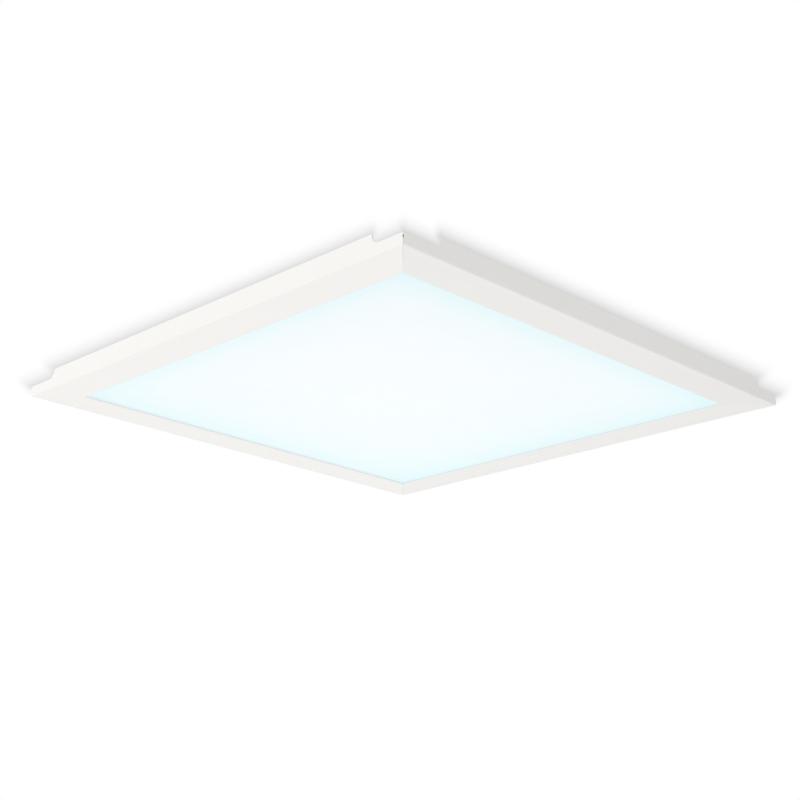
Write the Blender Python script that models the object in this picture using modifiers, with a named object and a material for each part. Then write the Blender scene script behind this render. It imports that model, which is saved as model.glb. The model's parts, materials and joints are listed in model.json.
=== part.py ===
"""Square ceiling panel light: an edge-lit opal panel in a white frame, on ceiling rails.

The origin is the middle of the ceiling plane. +Z points up at the ceiling and the lit face
looks down, along -Z. The sides lie along X and Y: south is -Y, east is +X. Lengths are metres.
"""
import math

import bmesh
import bpy
from mathutils import Matrix, Vector

GAP = 0.0003                 # between pieces that touch
OVERRUN = 0.001              # how far a cutter runs past the face it cuts
EMBED = 0.0004               # how far a joined shape sinks into its neighbour

# Outside of the frame
SIDE = 0.595                 # outside length of one side
HEIGHT = 0.0218              # ceiling to the underside of the bezel
CORNER_HEIGHT = 0.0115       # height left at a corner, where the skirt is cut away
BEZEL_WIDTH = 0.0439
NOTCH_LEFT = 0.046           # skirt cut back from the left-hand corner, seen from outside
NOTCH_RIGHT = 0.039          # and from the right-hand corner
NOTCH_FILLET = 0.009
EDGE_RADIUS = 0.0012         # lower outer edge of the frame
MITRE_SETBACK = 0.0002       # each rail stops this far short of the mitre, along its length

# Frame profile, measured inwards from the outer face
WALL = 0.0015
LEDGE_DEPTH = 0.0105         # ledge that takes the cover screws
LEDGE_THICKNESS = 0.003
RIB_OUTER = 0.026            # rib that carries the light strip
RIB_INNER = RIB_OUTER + WALL
SCREW_DEPTH = 0.006
SCREW_FROM_CORNER = 0.040
LEAD_SLOT_ALONG = -0.058     # slot in the rib for the panel lead, along the rail
LEAD_SLOT_WIDTH = 0.004
LEAD_SLOT_BASE = 0.002       # height of its foot above the bezel
LEAD_SLOT_HEIGHT = 0.0042

# Levels
BOTTOM = -HEIGHT
BEZEL_TOP = BOTTOM + WALL
NOTCH_FLOOR = BOTTOM + CORNER_HEIGHT
COVER_THICKNESS = 0.0005
COVER_SINK = 0.0008          # back cover below the floor of the notches
COVER_TOP = NOTCH_FLOOR - COVER_SINK
COVER_BOTTOM = COVER_TOP - COVER_THICKNESS
LEDGE_TOP = COVER_BOTTOM - GAP
LEDGE_BOTTOM = LEDGE_TOP - LEDGE_THICKNESS
ON_COVER = COVER_TOP + GAP   # underside of whatever stands on the back cover

# Optical stack, from the lit face up
DIFFUSER_DEPTH = 0.028
DIFFUSER_THICKNESS = 0.002
GUIDE_DEPTH = 0.0315
GUIDE_THICKNESS = 0.003
REFLECTOR_THICKNESS = 0.0003
FOAM_THICKNESS = 0.0017
DIFFUSER_BOTTOM = BEZEL_TOP + GAP
GUIDE_BOTTOM = DIFFUSER_BOTTOM + DIFFUSER_THICKNESS + GAP
REFLECTOR_BOTTOM = GUIDE_BOTTOM + GUIDE_THICKNESS + GAP
FOAM_BOTTOM = REFLECTOR_BOTTOM + REFLECTOR_THICKNESS + GAP

# Light strips
STRIP_LENGTH = 0.524
STRIP_THICKNESS = 0.0012
STRIP_TOP = LEDGE_TOP - GAP
LED_COUNT = 24
LED_SIZE = (0.004, 0.0008, 0.0024)
JUMPER_RADIUS = 0.0005
JUMPER_DROP = 0.0010         # link below the top of the strips
JUMPER_BOW = 0.0008          # how far it bows in from the corner

# Corner keys
KEY_ARM = 0.062
KEY_OUTER = WALL + GAP
KEY_INNER = RIB_OUTER - GAP

# Screws
SCREW_RADIUS = 0.0015
SCREW_HOLE_RADIUS = 0.0018
SCREW_HEAD_RADIUS = 0.0028
SCREW_HEAD_HEIGHT = 0.0018
FRAME_SCREW_LENGTH = 0.0070

# Ceiling rails and strap
RAIL_SHEET = 0.0012
RAIL_LENGTH = 0.520
RAIL_FLANGE_INNER = 0.186
RAIL_WEB = 0.216
RAIL_LIP_OUTER = 0.233
RAIL_LIP_TOP = -0.0063
RAIL_SLOT_ALONG = 0.190
SLOT_WIDTH = 0.005
SLOT_LENGTH = 0.014
STRAP_WIDTH = 0.044
STRAP_JOGGLE = 0.183         # where the strap steps down to pass under the rail flanges
STRAP_RAMP = 0.002
STRAP_END = 0.212
STRAP_SLOT_X = 0.060
CABLE_HOLE_X = 0.130
CABLE_HOLE_RADIUS = 0.010
CABLE_BORE_RADIUS = 0.0065
SLEEVE_RIM = 0.0020          # rim under the strap, beyond the hole's edge
SLEEVE_RIM_DEPTH = 0.0014

# Turn catches
CATCH_CENTRE = 0.245
CATCH_BOTTOM = -0.00605
CATCH_TOP = -0.00425
CATCH_HUB = 0.0075
CATCH_NOSE = 0.019
CATCH_NOSE_HALF = 0.0045
CATCH_TAIL = 0.022
CATCH_TAIL_HALF = 0.0035
CATCH_TAB_TOP = -0.0016
CATCH_TAB_THICKNESS = 0.0016
CATCH_NOSE_CHAMFER = 0.002
CATCH_BORE = 0.0031
POST_SHAFT = 0.0030
POST_HEAD = 0.0050
POST_HEAD_HEIGHT = 0.0014
POST_PLAY = 0.00015          # between the catch and the post's collar and head
POST_TAIL = 0.0025
POST_HOLE = 0.0028

# Driver
DRIVER_Y = 0.075
DRIVER_LENGTH = 0.210
DRIVER_WIDTH = 0.052
DRIVER_WALL = 0.0012
DRIVER_CORNER = 0.003
DRIVER_WALL_TOP = -0.0033
DRIVER_LID_TOP = -0.0018
LID_LIP_THICKNESS = 0.001
LID_LIP_DEPTH = 0.0012
DRIVER_EAR_REACH = 0.117
DRIVER_EAR_HALF = 0.007
DRIVER_EAR_CORNER = 0.004
DRIVER_SCREW_X = 0.1105
BOARD_BOTTOM = ON_COVER + DRIVER_WALL + GAP
BOARD_TOP = BOARD_BOTTOM + 0.0012
BOARD_MARGIN = 0.0018        # between the board's edge and the tray's wall
BOARD_OPENING_GAP = 0.0005   # round the parts that stand in the board's openings
LEAD_HOLE_Z = -0.0065
SUPPLY_HOLE_Y = 0.093
PANEL_HOLE_Y = 0.060
LEAD_HOLE_RADIUS = 0.0018
CAPACITOR_X = -0.050
CAPACITOR_LENGTH = 0.020
CAPACITOR_RADIUS = 0.0030
TRANSFORMER_X = 0.005
TRANSFORMER_SIZE = (0.030, 0.024, 0.0052)
TRANSFORMER_BEVEL = 0.0006
SWITCH_X = 0.078
SWITCH_TRAVEL = 0.004
SWITCH_HOUSING_HEIGHT = 0.0033
SWITCH_PLATE = (0.008, 0.0044)
SWITCH_KNOB = (0.003, 0.0024)
SWITCH_KNOB_TOP = -0.0010

# Terminal block
BLOCK_X = 0.150
BLOCK_Y = 0.075
BLOCK_SIZE = (0.020, 0.026)
BLOCK_TOP = -0.0022
WIRE_MOUTH = (0.0028, 0.012, -0.0098, -0.0070)   # width, depth, bottom and top
LEAD_MOUTH_Z = -0.0085
LEAD_MOUTH_DEPTH = 0.004
POLE_PITCH = 0.008
LEVER_WIDTH = 0.005
LEVER_PIVOT_Y = 0.082
LEVER_PIVOT_Z = -0.0042
LEVER_LENGTH = 0.0140
LEVER_THICKNESS = 0.0022
LEVER_SIDE_GAP = 0.0002
LEVER_RECESS_FLOOR = -0.0064
LEVER_RECESS_FRONT = 0.0006  # clear in front of the lever's tip
LEVER_RECESS_BACK = 0.0026   # and behind its pivot
LEVER_HUB_RADIUS = 0.0018
TRUNNION_RADIUS = 0.0009
TRUNNION_LENGTH = 0.0009
PIVOT_BORE_RADIUS = 0.0010
GRIP_LENGTH = 0.0022         # step at the lever's tip for a fingernail
GRIP_DEPTH = 0.0004

# Leads
SUPPLY_LEAD_RADIUS = 0.0014
PANEL_LEAD_RADIUS = 0.0010
LEAD_END = 0.0024            # how far each lead reaches into the driver
GROMMET_X = -0.2795
GROMMET_HOLE = 0.0032
GROMMET_FLANGE = 0.0050
GROMMET_HEIGHT = 0.0010
GROMMET_TAIL = 0.0010

SIDES = {"south": 0.0, "east": 90.0, "north": 180.0, "west": 270.0}
CORNERS = {"sw": (-1, -1), "se": (1, -1), "ne": (1, 1), "nw": (-1, 1)}


# ---------------------------------------------------------------- tools
def clear_scene():
    for obj in list(bpy.data.objects):
        bpy.data.objects.remove(obj, do_unlink=True)


def new_collection(name):
    group = bpy.data.collections.new(name)
    bpy.context.scene.collection.children.link(group)
    return group


def finish_material(name, colour, roughness, metallic=0.0, glow=None):
    material = bpy.data.materials.new(name)
    material.use_nodes = True
    shader = material.node_tree.nodes["Principled BSDF"]
    shader.inputs["Base Color"].default_value = (*colour, 1.0)
    shader.inputs["Roughness"].default_value = roughness
    shader.inputs["Metallic"].default_value = metallic
    if glow:
        shader.inputs["Emission Color"].default_value = (*glow, 1.0)
        shader.inputs["Emission Strength"].default_value = 1.0
    return material


def weld(mesh):
    """Join coincident corners and turn every face outwards."""
    shape = bmesh.new()
    shape.from_mesh(mesh)
    bmesh.ops.remove_doubles(shape, verts=shape.verts, dist=1e-6)
    bmesh.ops.recalc_face_normals(shape, faces=shape.faces)
    shape.to_mesh(mesh)
    shape.free()


def baked(obj):
    """The mesh an object shows, with the object removed."""
    bpy.context.view_layer.update()
    seen = obj.evaluated_get(bpy.context.evaluated_depsgraph_get())
    mesh = bpy.data.meshes.new_from_object(seen)
    mesh.transform(obj.matrix_world)
    bpy.data.objects.remove(obj, do_unlink=True)
    weld(mesh)
    return mesh


def draft(name, data):
    """An object still being made, in the scene's own collection."""
    obj = bpy.data.objects.new(name, data)
    bpy.context.scene.collection.objects.link(obj)
    return obj


LAY_FLAT = Matrix.Identity(4)
ALONG_Y = Matrix.Rotation(math.radians(90), 4, "X")
ALONG_X = Matrix(((0, 0, 1, 0), (1, 0, 0, 0), (0, 1, 0, 0), (0, 0, 0, 1)))


def prism(name, loops, low, high, way=LAY_FLAT):
    """A closed solid from an outline and the outlines of its holes, between two levels.

    Flat outlines are in X and Y, those along Y in X and Z, and those along X in Y and Z.
    """
    curve = bpy.data.curves.new(name, "CURVE")
    curve.dimensions = "2D"
    curve.fill_mode = "BOTH"
    curve.extrude = (high - low) / 2
    for loop in loops:
        spline = curve.splines.new("POLY")
        spline.points.add(len(loop) - 1)
        for point, (across, up) in zip(spline.points, loop):
            point.co = (across, up, 0.0, 1.0)
        spline.use_cyclic_u = True
    mesh = baked(draft(name, curve))
    mesh.transform(way)
    axis = Vector((0, 0, 1))
    if way is ALONG_Y:
        axis = Vector((0, 1, 0))
    if way is ALONG_X:
        axis = Vector((1, 0, 0))
    mesh.transform(Matrix.Translation(axis * (low + high) / 2))
    return draft(name, mesh)


def box(name, low, high):
    bpy.ops.mesh.primitive_cube_add(size=1.0)
    obj = bpy.context.object
    obj.name = name
    size = [b - a for a, b in zip(low, high)]
    middle = [(a + b) / 2 for a, b in zip(low, high)]
    obj.data.transform(Matrix.Translation(middle) @ Matrix.Diagonal((*size, 1.0)))
    return obj


def rod(name, radius, low, high, at, way=LAY_FLAT, sides=16):
    """A cylinder along Z, Y or X: `at` is its axis in the other two directions."""
    return prism(name, [circle(at[0], at[1], radius, sides)], low, high, way)


def circle(x, y, radius, sides=16):
    turns = [2 * math.pi * i / sides for i in range(sides)]
    return [(x + radius * math.cos(t), y + radius * math.sin(t)) for t in turns]


def arc(x, y, radius, start, end, steps):
    turns = [math.radians(start + (end - start) * i / steps) for i in range(steps + 1)]
    return [(x + radius * math.cos(t), y + radius * math.sin(t)) for t in turns]


def rounded(x, y, width, length, radius, steps=3):
    """A rounded rectangle centred on x, y."""
    across = width / 2 - radius
    along = length / 2 - radius
    points = []
    for sx, sy, start in ((1, 1, 0), (-1, 1, 90), (-1, -1, 180), (1, -1, 270)):
        points += arc(x + sx * across, y + sy * along, radius, start, start + 90, steps)
    return points


def slot(x, y, width, length):
    """A slot with round ends, long in Y."""
    along = (length - width) / 2
    top = arc(x, y + along, width / 2, 0, 180, 6)
    return top + arc(x, y - along, width / 2, 180, 360, 6)


def turned(name, profile, closed=False, steps=16):
    """A turned solid about Z, from (radius, height) points down its outer side."""
    mesh = bpy.data.meshes.new(name)
    last = len(profile) - 1
    edges = [(i, i + 1) for i in range(last)]
    if closed:
        edges.append((last, 0))
    mesh.from_pydata([(r, 0.0, z) for r, z in profile], edges, [])
    obj = draft(name, mesh)
    screw = obj.modifiers.new("Turn", "SCREW")
    screw.steps = steps
    screw.render_steps = steps
    screw.use_merge_vertices = True
    screw.merge_threshold = 0.00001
    return draft(name, baked(obj))


def smooth_path(points, spacing):
    """Evenly smoothed route through hand-chosen points (Catmull-Rom)."""
    knots = [Vector(p) for p in points]
    knots = [2 * knots[0] - knots[1]] + knots + [2 * knots[-1] - knots[-2]]
    route = []
    for a, b, c, d in zip(knots, knots[1:], knots[2:], knots[3:]):
        count = max(1, round((c - b).length / spacing))
        for i in range(count):
            t = i / count
            route.append(0.5 * (2 * b + (c - a) * t + (2 * a - 5 * b + 4 * c - d) * t * t
                                + (3 * b - a - 3 * c + d) * t * t * t))
    return route + [knots[-2]]


def tube(name, points, radius, spacing):
    curve = bpy.data.curves.new(name, "CURVE")
    curve.dimensions = "3D"
    curve.bevel_depth = radius
    curve.bevel_resolution = 2
    curve.use_fill_caps = True
    route = smooth_path(points, spacing)
    spline = curve.splines.new("POLY")
    spline.points.add(len(route) - 1)
    for point, place in zip(spline.points, route):
        point.co = (*place, 1.0)
    return draft(name, baked(draft(name, curve)))


def combine(obj, kind, tools):
    """Boolean an object with hidden tools, each kept in the cutters' collection."""
    for tool in tools:
        modifier = obj.modifiers.new(kind.title(), "BOOLEAN")
        modifier.operation = kind
        modifier.object = tool
        tool.hide_render = True
        tool.display_type = "WIRE"
        move_to(tool, CUTTERS)
    return obj


def move_to(obj, group):
    for old in list(obj.users_collection):
        old.objects.unlink(obj)
    group.objects.link(obj)


def keep(obj, material):
    """Make an object a finished piece of the lamp."""
    obj.data.materials.clear()
    obj.data.materials.append(material)
    obj.data.shade_smooth()
    obj.data.set_sharp_from_angle(angle=math.radians(35))
    move_to(obj, LAMP)
    return obj


def copy_of(mesh, name, material, degrees=0.0, place=(0.0, 0.0, 0.0)):
    obj = draft(name, mesh)
    obj.location = place
    obj.rotation_euler.z = math.radians(degrees)
    return keep(obj, material)


def square(depth, radius=0.001):
    """Outline of a square sheet whose edges lie `depth` inside the frame's outer faces."""
    return rounded(0, 0, SIDE - 2 * depth, SIDE - 2 * depth, radius)


def turn_round(x, y, degrees):
    turn = math.radians(degrees)
    return x * math.cos(turn) - y * math.sin(turn), x * math.sin(turn) + y * math.cos(turn)


# ---------------------------------------------------------------- frame
def screw_places():
    """Name and centre of each cover screw: three along every side."""
    along = SIDE / 2 - SCREW_FROM_CORNER
    for side, degrees in SIDES.items():
        for place, x in (("left", -along), ("middle", 0.0), ("right", along)):
            yield f"{side}_{place}", turn_round(x, SCREW_DEPTH - SIDE / 2, degrees)


def rail_profile():
    """Section of the extrusion: distance in from the outer face, and height."""
    edge = arc(EDGE_RADIUS, BOTTOM + EDGE_RADIUS, EDGE_RADIUS, 180, 270, 4)
    return edge + [
        (BEZEL_WIDTH, BOTTOM),
        (BEZEL_WIDTH, BEZEL_TOP),
        (RIB_INNER, BEZEL_TOP),
        (RIB_INNER, LEDGE_TOP),
        (RIB_OUTER, LEDGE_TOP),
        (RIB_OUTER, BEZEL_TOP),
        (WALL, BEZEL_TOP),
        (WALL, LEDGE_BOTTOM),
        (LEDGE_DEPTH, LEDGE_BOTTOM),
        (LEDGE_DEPTH, LEDGE_TOP),
        (WALL, LEDGE_TOP),
        (WALL, 0.0),
        (0.0, 0.0),
    ]


def notch_cutter(hand, reach):
    """Solid that cuts the skirt away from one corner, with a rounded inner foot."""
    end = SIDE / 2
    foot = end - reach
    outline = [(end + OVERRUN, NOTCH_FLOOR), (end + OVERRUN, OVERRUN), (foot, OVERRUN)]
    outline += arc(foot + NOTCH_FILLET, NOTCH_FLOOR + NOTCH_FILLET, NOTCH_FILLET, 180, 270, 5)
    outline = [(hand * x, z) for x, z in outline]
    return prism("notch_cutter", [outline], -end - OVERRUN, WALL + OVERRUN - end, ALONG_Y)


def rail_mesh():
    """The south rail: mitred, with its skirt notched, its ledge drilled and its rib slotted."""
    rail = prism("rail", [rail_profile()], -SIDE / 2, SIDE / 2, ALONG_X)
    rail.data.transform(Matrix.Translation((0, -SIDE / 2, 0)))
    for vertex in rail.data.vertices:
        depth = vertex.co.y + SIDE / 2
        vertex.co.x = math.copysign(SIDE / 2 - depth - MITRE_SETBACK, vertex.co.x)
    cutters = [notch_cutter(-1, NOTCH_LEFT), notch_cutter(1, NOTCH_RIGHT)]
    along = SIDE / 2 - SCREW_FROM_CORNER
    for x in (-along, 0.0, along):
        spot = (x, SCREW_DEPTH - SIDE / 2)
        cutters.append(rod("hole_cutter", SCREW_HOLE_RADIUS, LEDGE_BOTTOM - OVERRUN,
                           LEDGE_TOP + OVERRUN, spot, sides=12))
    rib = RIB_OUTER - SIDE / 2
    half = LEAD_SLOT_WIDTH / 2
    foot = BEZEL_TOP + LEAD_SLOT_BASE
    cutters.append(box("slot_cutter", (LEAD_SLOT_ALONG - half, rib - OVERRUN, foot),
                       (LEAD_SLOT_ALONG + half, rib + WALL + OVERRUN, foot + LEAD_SLOT_HEIGHT)))
    return baked(combine(rail, "DIFFERENCE", cutters))


def make_frame(paint):
    mesh = rail_mesh()
    for side, degrees in SIDES.items():
        copy_of(mesh, f"frame_rail_{side}", paint, degrees)


def make_corner_keys(steel):
    """L-shaped keys lying in the channel of two rails, under their ledges."""
    outer = SIDE / 2 - KEY_OUTER
    inner = SIDE / 2 - KEY_INNER
    end = SIDE / 2 - KEY_ARM
    outline = [(-outer, -outer), (-end, -outer), (-end, -inner), (-inner, -inner),
               (-inner, -end), (-outer, -end)]
    along = SIDE / 2 - SCREW_FROM_CORNER
    line = SIDE / 2 - SCREW_DEPTH
    holes = [circle(-along, -line, SCREW_HOLE_RADIUS, 12), circle(-line, -along, SCREW_HOLE_RADIUS, 12)]
    key = prism("key", [outline] + holes, BEZEL_TOP + GAP, LEDGE_BOTTOM - GAP)
    mesh = baked(key)
    for index, corner in enumerate(CORNERS):
        copy_of(mesh, f"corner_key_{corner}", steel, 90.0 * index)


def screw_profile(length):
    """Pan-head screw seen from the side, with its head's underside at height zero."""
    head = SCREW_HEAD_RADIUS
    return [
        (0.0, SCREW_HEAD_HEIGHT),
        (0.55 * head, SCREW_HEAD_HEIGHT),
        (0.88 * head, 0.72 * SCREW_HEAD_HEIGHT),
        (head, 0.30 * SCREW_HEAD_HEIGHT),
        (head, 0.0),
        (SCREW_RADIUS, 0.0),
        (SCREW_RADIUS, -length + SCREW_RADIUS / 2),
        (SCREW_RADIUS / 2, -length),
        (0.0, -length),
    ]


def make_frame_screws(zinc):
    mesh = baked(turned("screw", screw_profile(FRAME_SCREW_LENGTH), steps=12))
    for name, (x, y) in screw_places():
        copy_of(mesh, f"frame_screw_{name}", zinc, place=(x, y, ON_COVER))


# ---------------------------------------------------------------- optical stack
def make_optics(opal, clear, silver, foam):
    sheets = (
        ("diffuser", DIFFUSER_DEPTH, DIFFUSER_BOTTOM, DIFFUSER_THICKNESS, opal),
        ("light_guide", GUIDE_DEPTH, GUIDE_BOTTOM, GUIDE_THICKNESS, clear),
        ("reflector_sheet", GUIDE_DEPTH, REFLECTOR_BOTTOM, REFLECTOR_THICKNESS, silver),
        ("backing_foam", GUIDE_DEPTH, FOAM_BOTTOM, FOAM_THICKNESS, foam),
    )
    for name, depth, low, thickness, material in sheets:
        keep(prism(name, [square(depth)], low, low + thickness), material)


def strip_mesh():
    """The south light strip: a narrow board with a row of light packages facing inwards."""
    back = RIB_INNER + GAP - SIDE / 2
    front = back + STRIP_THICKNESS
    board = box("strip", (-STRIP_LENGTH / 2, back, GUIDE_BOTTOM), (STRIP_LENGTH / 2, front, STRIP_TOP))
    pitch = STRIP_LENGTH / LED_COUNT
    start = (pitch - STRIP_LENGTH) / 2
    width, rise, height = LED_SIZE
    middle = GUIDE_BOTTOM + GUIDE_THICKNESS / 2
    package = box("package", (start - width / 2, front - EMBED, middle - height / 2),
                  (start + width / 2, front + rise, middle + height / 2))
    row = package.modifiers.new("Row", "ARRAY")
    row.count = LED_COUNT
    row.use_relative_offset = False
    row.use_constant_offset = True
    row.constant_offset_displace = (pitch, 0.0, 0.0)
    row.use_merge_vertices = False
    return baked(combine(board, "UNION", [package]))


def make_light_strips(white_board):
    mesh = strip_mesh()
    for side, degrees in SIDES.items():
        copy_of(mesh, f"led_strip_{side}", white_board, degrees)


def make_jumpers(copper):
    """Short links between neighbouring strips, at every corner but the first."""
    line = SIDE / 2 - RIB_INNER - GAP - STRIP_THICKNESS / 2
    start = STRIP_LENGTH / 2 + GAP
    bend = line - JUMPER_BOW
    height = STRIP_TOP - JUMPER_DROP
    straight = 0.3 * start + 0.7 * bend
    points = [(start, -line, height), (straight, -line, height), (bend, -bend, height),
              (line, -straight, height), (line, -start, height)]
    mesh = baked(tube("jumper", points, JUMPER_RADIUS, 0.0012))
    for index, corner in enumerate(("se", "ne", "nw")):
        copy_of(mesh, f"led_jumper_{corner}", copper, 90.0 * index)


# ---------------------------------------------------------------- back cover
def make_back_cover(steel):
    holes = [circle(x, y, SCREW_HOLE_RADIUS, 12) for _, (x, y) in screw_places()]
    for sx, sy in CORNERS.values():
        holes.append(circle(sx * CATCH_CENTRE, sy * CATCH_CENTRE, POST_HOLE, 16))
    for sx in (-1, 1):
        holes.append(circle(sx * DRIVER_SCREW_X, DRIVER_Y, SCREW_HOLE_RADIUS, 12))
    holes.append(circle(GROMMET_X, DRIVER_Y, GROMMET_HOLE, 16))
    cover = prism("back_cover", [square(WALL + GAP)] + holes, COVER_BOTTOM, COVER_TOP)
    keep(cover, steel)


# ---------------------------------------------------------------- driver
def driver_outline(margin):
    """Rectangle inside the driver's outer walls by `margin`."""
    return rounded(0, DRIVER_Y, DRIVER_LENGTH - 2 * margin, DRIVER_WIDTH - 2 * margin,
                   max(DRIVER_CORNER - margin, DRIVER_CORNER / 3))


def make_driver_base(plastic):
    """Open tray with a screw ear at each end and a hole for each lead."""
    base = prism("driver_base", [driver_outline(0)], ON_COVER, DRIVER_WALL_TOP)
    ear_outline = rounded(0, DRIVER_Y, 2 * DRIVER_EAR_REACH, 2 * DRIVER_EAR_HALF, DRIVER_EAR_CORNER)
    ears = prism("ears", [ear_outline], ON_COVER, ON_COVER + DRIVER_WALL)
    hollow = prism("hollow", [driver_outline(DRIVER_WALL)], ON_COVER + DRIVER_WALL, OVERRUN)
    inside = DRIVER_LENGTH / 2 - DRIVER_WALL - OVERRUN
    outside = DRIVER_LENGTH / 2 + OVERRUN
    cutters = [
        hollow,
        rod("supply_hole", LEAD_HOLE_RADIUS, inside, outside, (SUPPLY_HOLE_Y, LEAD_HOLE_Z), ALONG_X),
        rod("panel_hole", LEAD_HOLE_RADIUS, -outside, -inside, (PANEL_HOLE_Y, LEAD_HOLE_Z), ALONG_X),
    ]
    for sx in (-1, 1):
        cutters.append(rod("ear_hole", SCREW_HOLE_RADIUS, ON_COVER - OVERRUN,
                           ON_COVER + DRIVER_WALL + OVERRUN, (sx * DRIVER_SCREW_X, DRIVER_Y), sides=12))
    combine(base, "UNION", [ears])
    combine(base, "DIFFERENCE", cutters)
    keep(base, plastic)


def make_driver_lid(plastic):
    """Flat lid with a lip that drops inside the tray, and the slot of the tone switch."""
    length, width = SWITCH_KNOB
    knob_path = rounded(SWITCH_X + SWITCH_TRAVEL / 2, DRIVER_Y, length + SWITCH_TRAVEL + 2 * GAP,
                        width + 2 * GAP, GAP)
    underside = DRIVER_WALL_TOP + GAP
    lid = prism("driver_lid", [driver_outline(0), knob_path], underside, DRIVER_LID_TOP)
    lip_edge = DRIVER_WALL + GAP
    lip = prism("lip", [driver_outline(lip_edge), driver_outline(lip_edge + LID_LIP_THICKNESS)],
                underside - LID_LIP_DEPTH, underside + EMBED)
    keep(combine(lid, "UNION", [lip]), plastic)


def make_driver_board(green):
    """Circuit board with openings for the capacitor and the core, and its low parts."""
    width, depth, _ = TRANSFORMER_SIZE
    openings = []
    for x, along, across in ((CAPACITOR_X, CAPACITOR_LENGTH, 2 * CAPACITOR_RADIUS),
                             (TRANSFORMER_X, width, depth)):
        openings.append(rounded(x, DRIVER_Y, along + 2 * BOARD_OPENING_GAP,
                                across + 2 * BOARD_OPENING_GAP, BOARD_OPENING_GAP))
    outline = driver_outline(DRIVER_WALL + BOARD_MARGIN)
    board = prism("driver_board", [outline] + openings, BOARD_BOTTOM, BOARD_TOP)
    low_parts = (
        (SWITCH_X + SWITCH_TRAVEL / 2, DRIVER_Y, 0.014, 0.007, SWITCH_HOUSING_HEIGHT),
        (0.044, DRIVER_Y + 0.012, 0.010, 0.008, 0.0026),
        (0.044, DRIVER_Y - 0.012, 0.009, 0.009, 0.0030),
        (-0.080, DRIVER_Y + 0.010, 0.012, 0.006, 0.0030),
        (-0.026, DRIVER_Y - 0.014, 0.008, 0.006, 0.0022),
    )
    blocks = []
    for x, y, length, breadth, rise in low_parts:
        blocks.append(box("low_part", (x - length / 2, y - breadth / 2, BOARD_TOP - EMBED),
                          (x + length / 2, y + breadth / 2, BOARD_TOP + rise)))
    keep(combine(board, "UNION", blocks), green)


def make_driver_parts(ferrite, sleeve):
    width, depth, height = TRANSFORMER_SIZE
    core = box("driver_transformer",
               (TRANSFORMER_X - width / 2, DRIVER_Y - depth / 2, BOARD_BOTTOM),
               (TRANSFORMER_X + width / 2, DRIVER_Y + depth / 2, BOARD_BOTTOM + height))
    bevel = core.modifiers.new("Edges", "BEVEL")
    bevel.width = TRANSFORMER_BEVEL
    bevel.segments = 1
    keep(core, ferrite)
    half = CAPACITOR_LENGTH / 2
    keep(rod("driver_capacitor", CAPACITOR_RADIUS, CAPACITOR_X - half, CAPACITOR_X + half,
             (DRIVER_Y, BOARD_BOTTOM + CAPACITOR_RADIUS), ALONG_X, sides=20), sleeve)


def make_driver_screws(zinc):
    head = ON_COVER + DRIVER_WALL + GAP
    mesh = baked(turned("driver_screw", screw_profile(head - COVER_BOTTOM), steps=12))
    for name, sx in (("west", -1), ("east", 1)):
        copy_of(mesh, f"driver_screw_{name}", zinc, place=(sx * DRIVER_SCREW_X, DRIVER_Y, head))


def make_tone_switch(black):
    """Slider of the colour-tone switch: a retained plate and a knob through the lid."""
    length, width = SWITCH_PLATE
    plate = box("tone_switch", (-length / 2, -width / 2, BOARD_TOP + SWITCH_HOUSING_HEIGHT + GAP),
                (length / 2, width / 2, DRIVER_WALL_TOP - GAP))
    length, width = SWITCH_KNOB
    knob = box("knob", (-length / 2, -width / 2, DRIVER_WALL_TOP - GAP - EMBED),
               (length / 2, width / 2, SWITCH_KNOB_TOP))
    combine(plate, "UNION", [knob])
    mesh = baked(plate)
    copy_of(mesh, "tone_switch", black, place=(SWITCH_X, DRIVER_Y, 0.0))


# ---------------------------------------------------------------- terminal block
def pole_centres():
    return {"live": BLOCK_X - POLE_PITCH / 2, "neutral": BLOCK_X + POLE_PITCH / 2}


def make_terminal_block(grey):
    """Two-pole block: a recess and a pivot bore for each lever, and a mouth for each wire."""
    width, length = BLOCK_SIZE
    block = box("terminal_block", (BLOCK_X - width / 2, BLOCK_Y - length / 2, ON_COVER),
                (BLOCK_X + width / 2, BLOCK_Y + length / 2, BLOCK_TOP))
    half = LEVER_WIDTH / 2 + LEVER_SIDE_GAP
    front = BLOCK_Y - length / 2
    back = BLOCK_Y + length / 2
    wall = POLE_PITCH / 2 - half
    cutters = [rod("pivot_bore", PIVOT_BORE_RADIUS, BLOCK_X - width / 2 + wall,
                   BLOCK_X + width / 2 - wall, (LEVER_PIVOT_Y, LEVER_PIVOT_Z), ALONG_X, sides=24)]
    tip = LEVER_PIVOT_Y - LEVER_LENGTH - LEVER_RECESS_FRONT
    mouth, depth, low, high = WIRE_MOUTH
    for x in pole_centres().values():
        cutters.append(box("lever_recess", (x - half, tip, LEVER_RECESS_FLOOR),
                           (x + half, LEVER_PIVOT_Y + LEVER_RECESS_BACK, OVERRUN)))
        cutters.append(box("wire_mouth", (x - mouth / 2, front - OVERRUN, low),
                           (x + mouth / 2, front + depth, high)))
    cutters.append(rod("lead_mouth", LEAD_HOLE_RADIUS, back - LEAD_MOUTH_DEPTH, back + OVERRUN,
                       (BLOCK_X, LEAD_MOUTH_Z), ALONG_Y, sides=16))
    keep(combine(block, "DIFFERENCE", cutters), grey)


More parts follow.
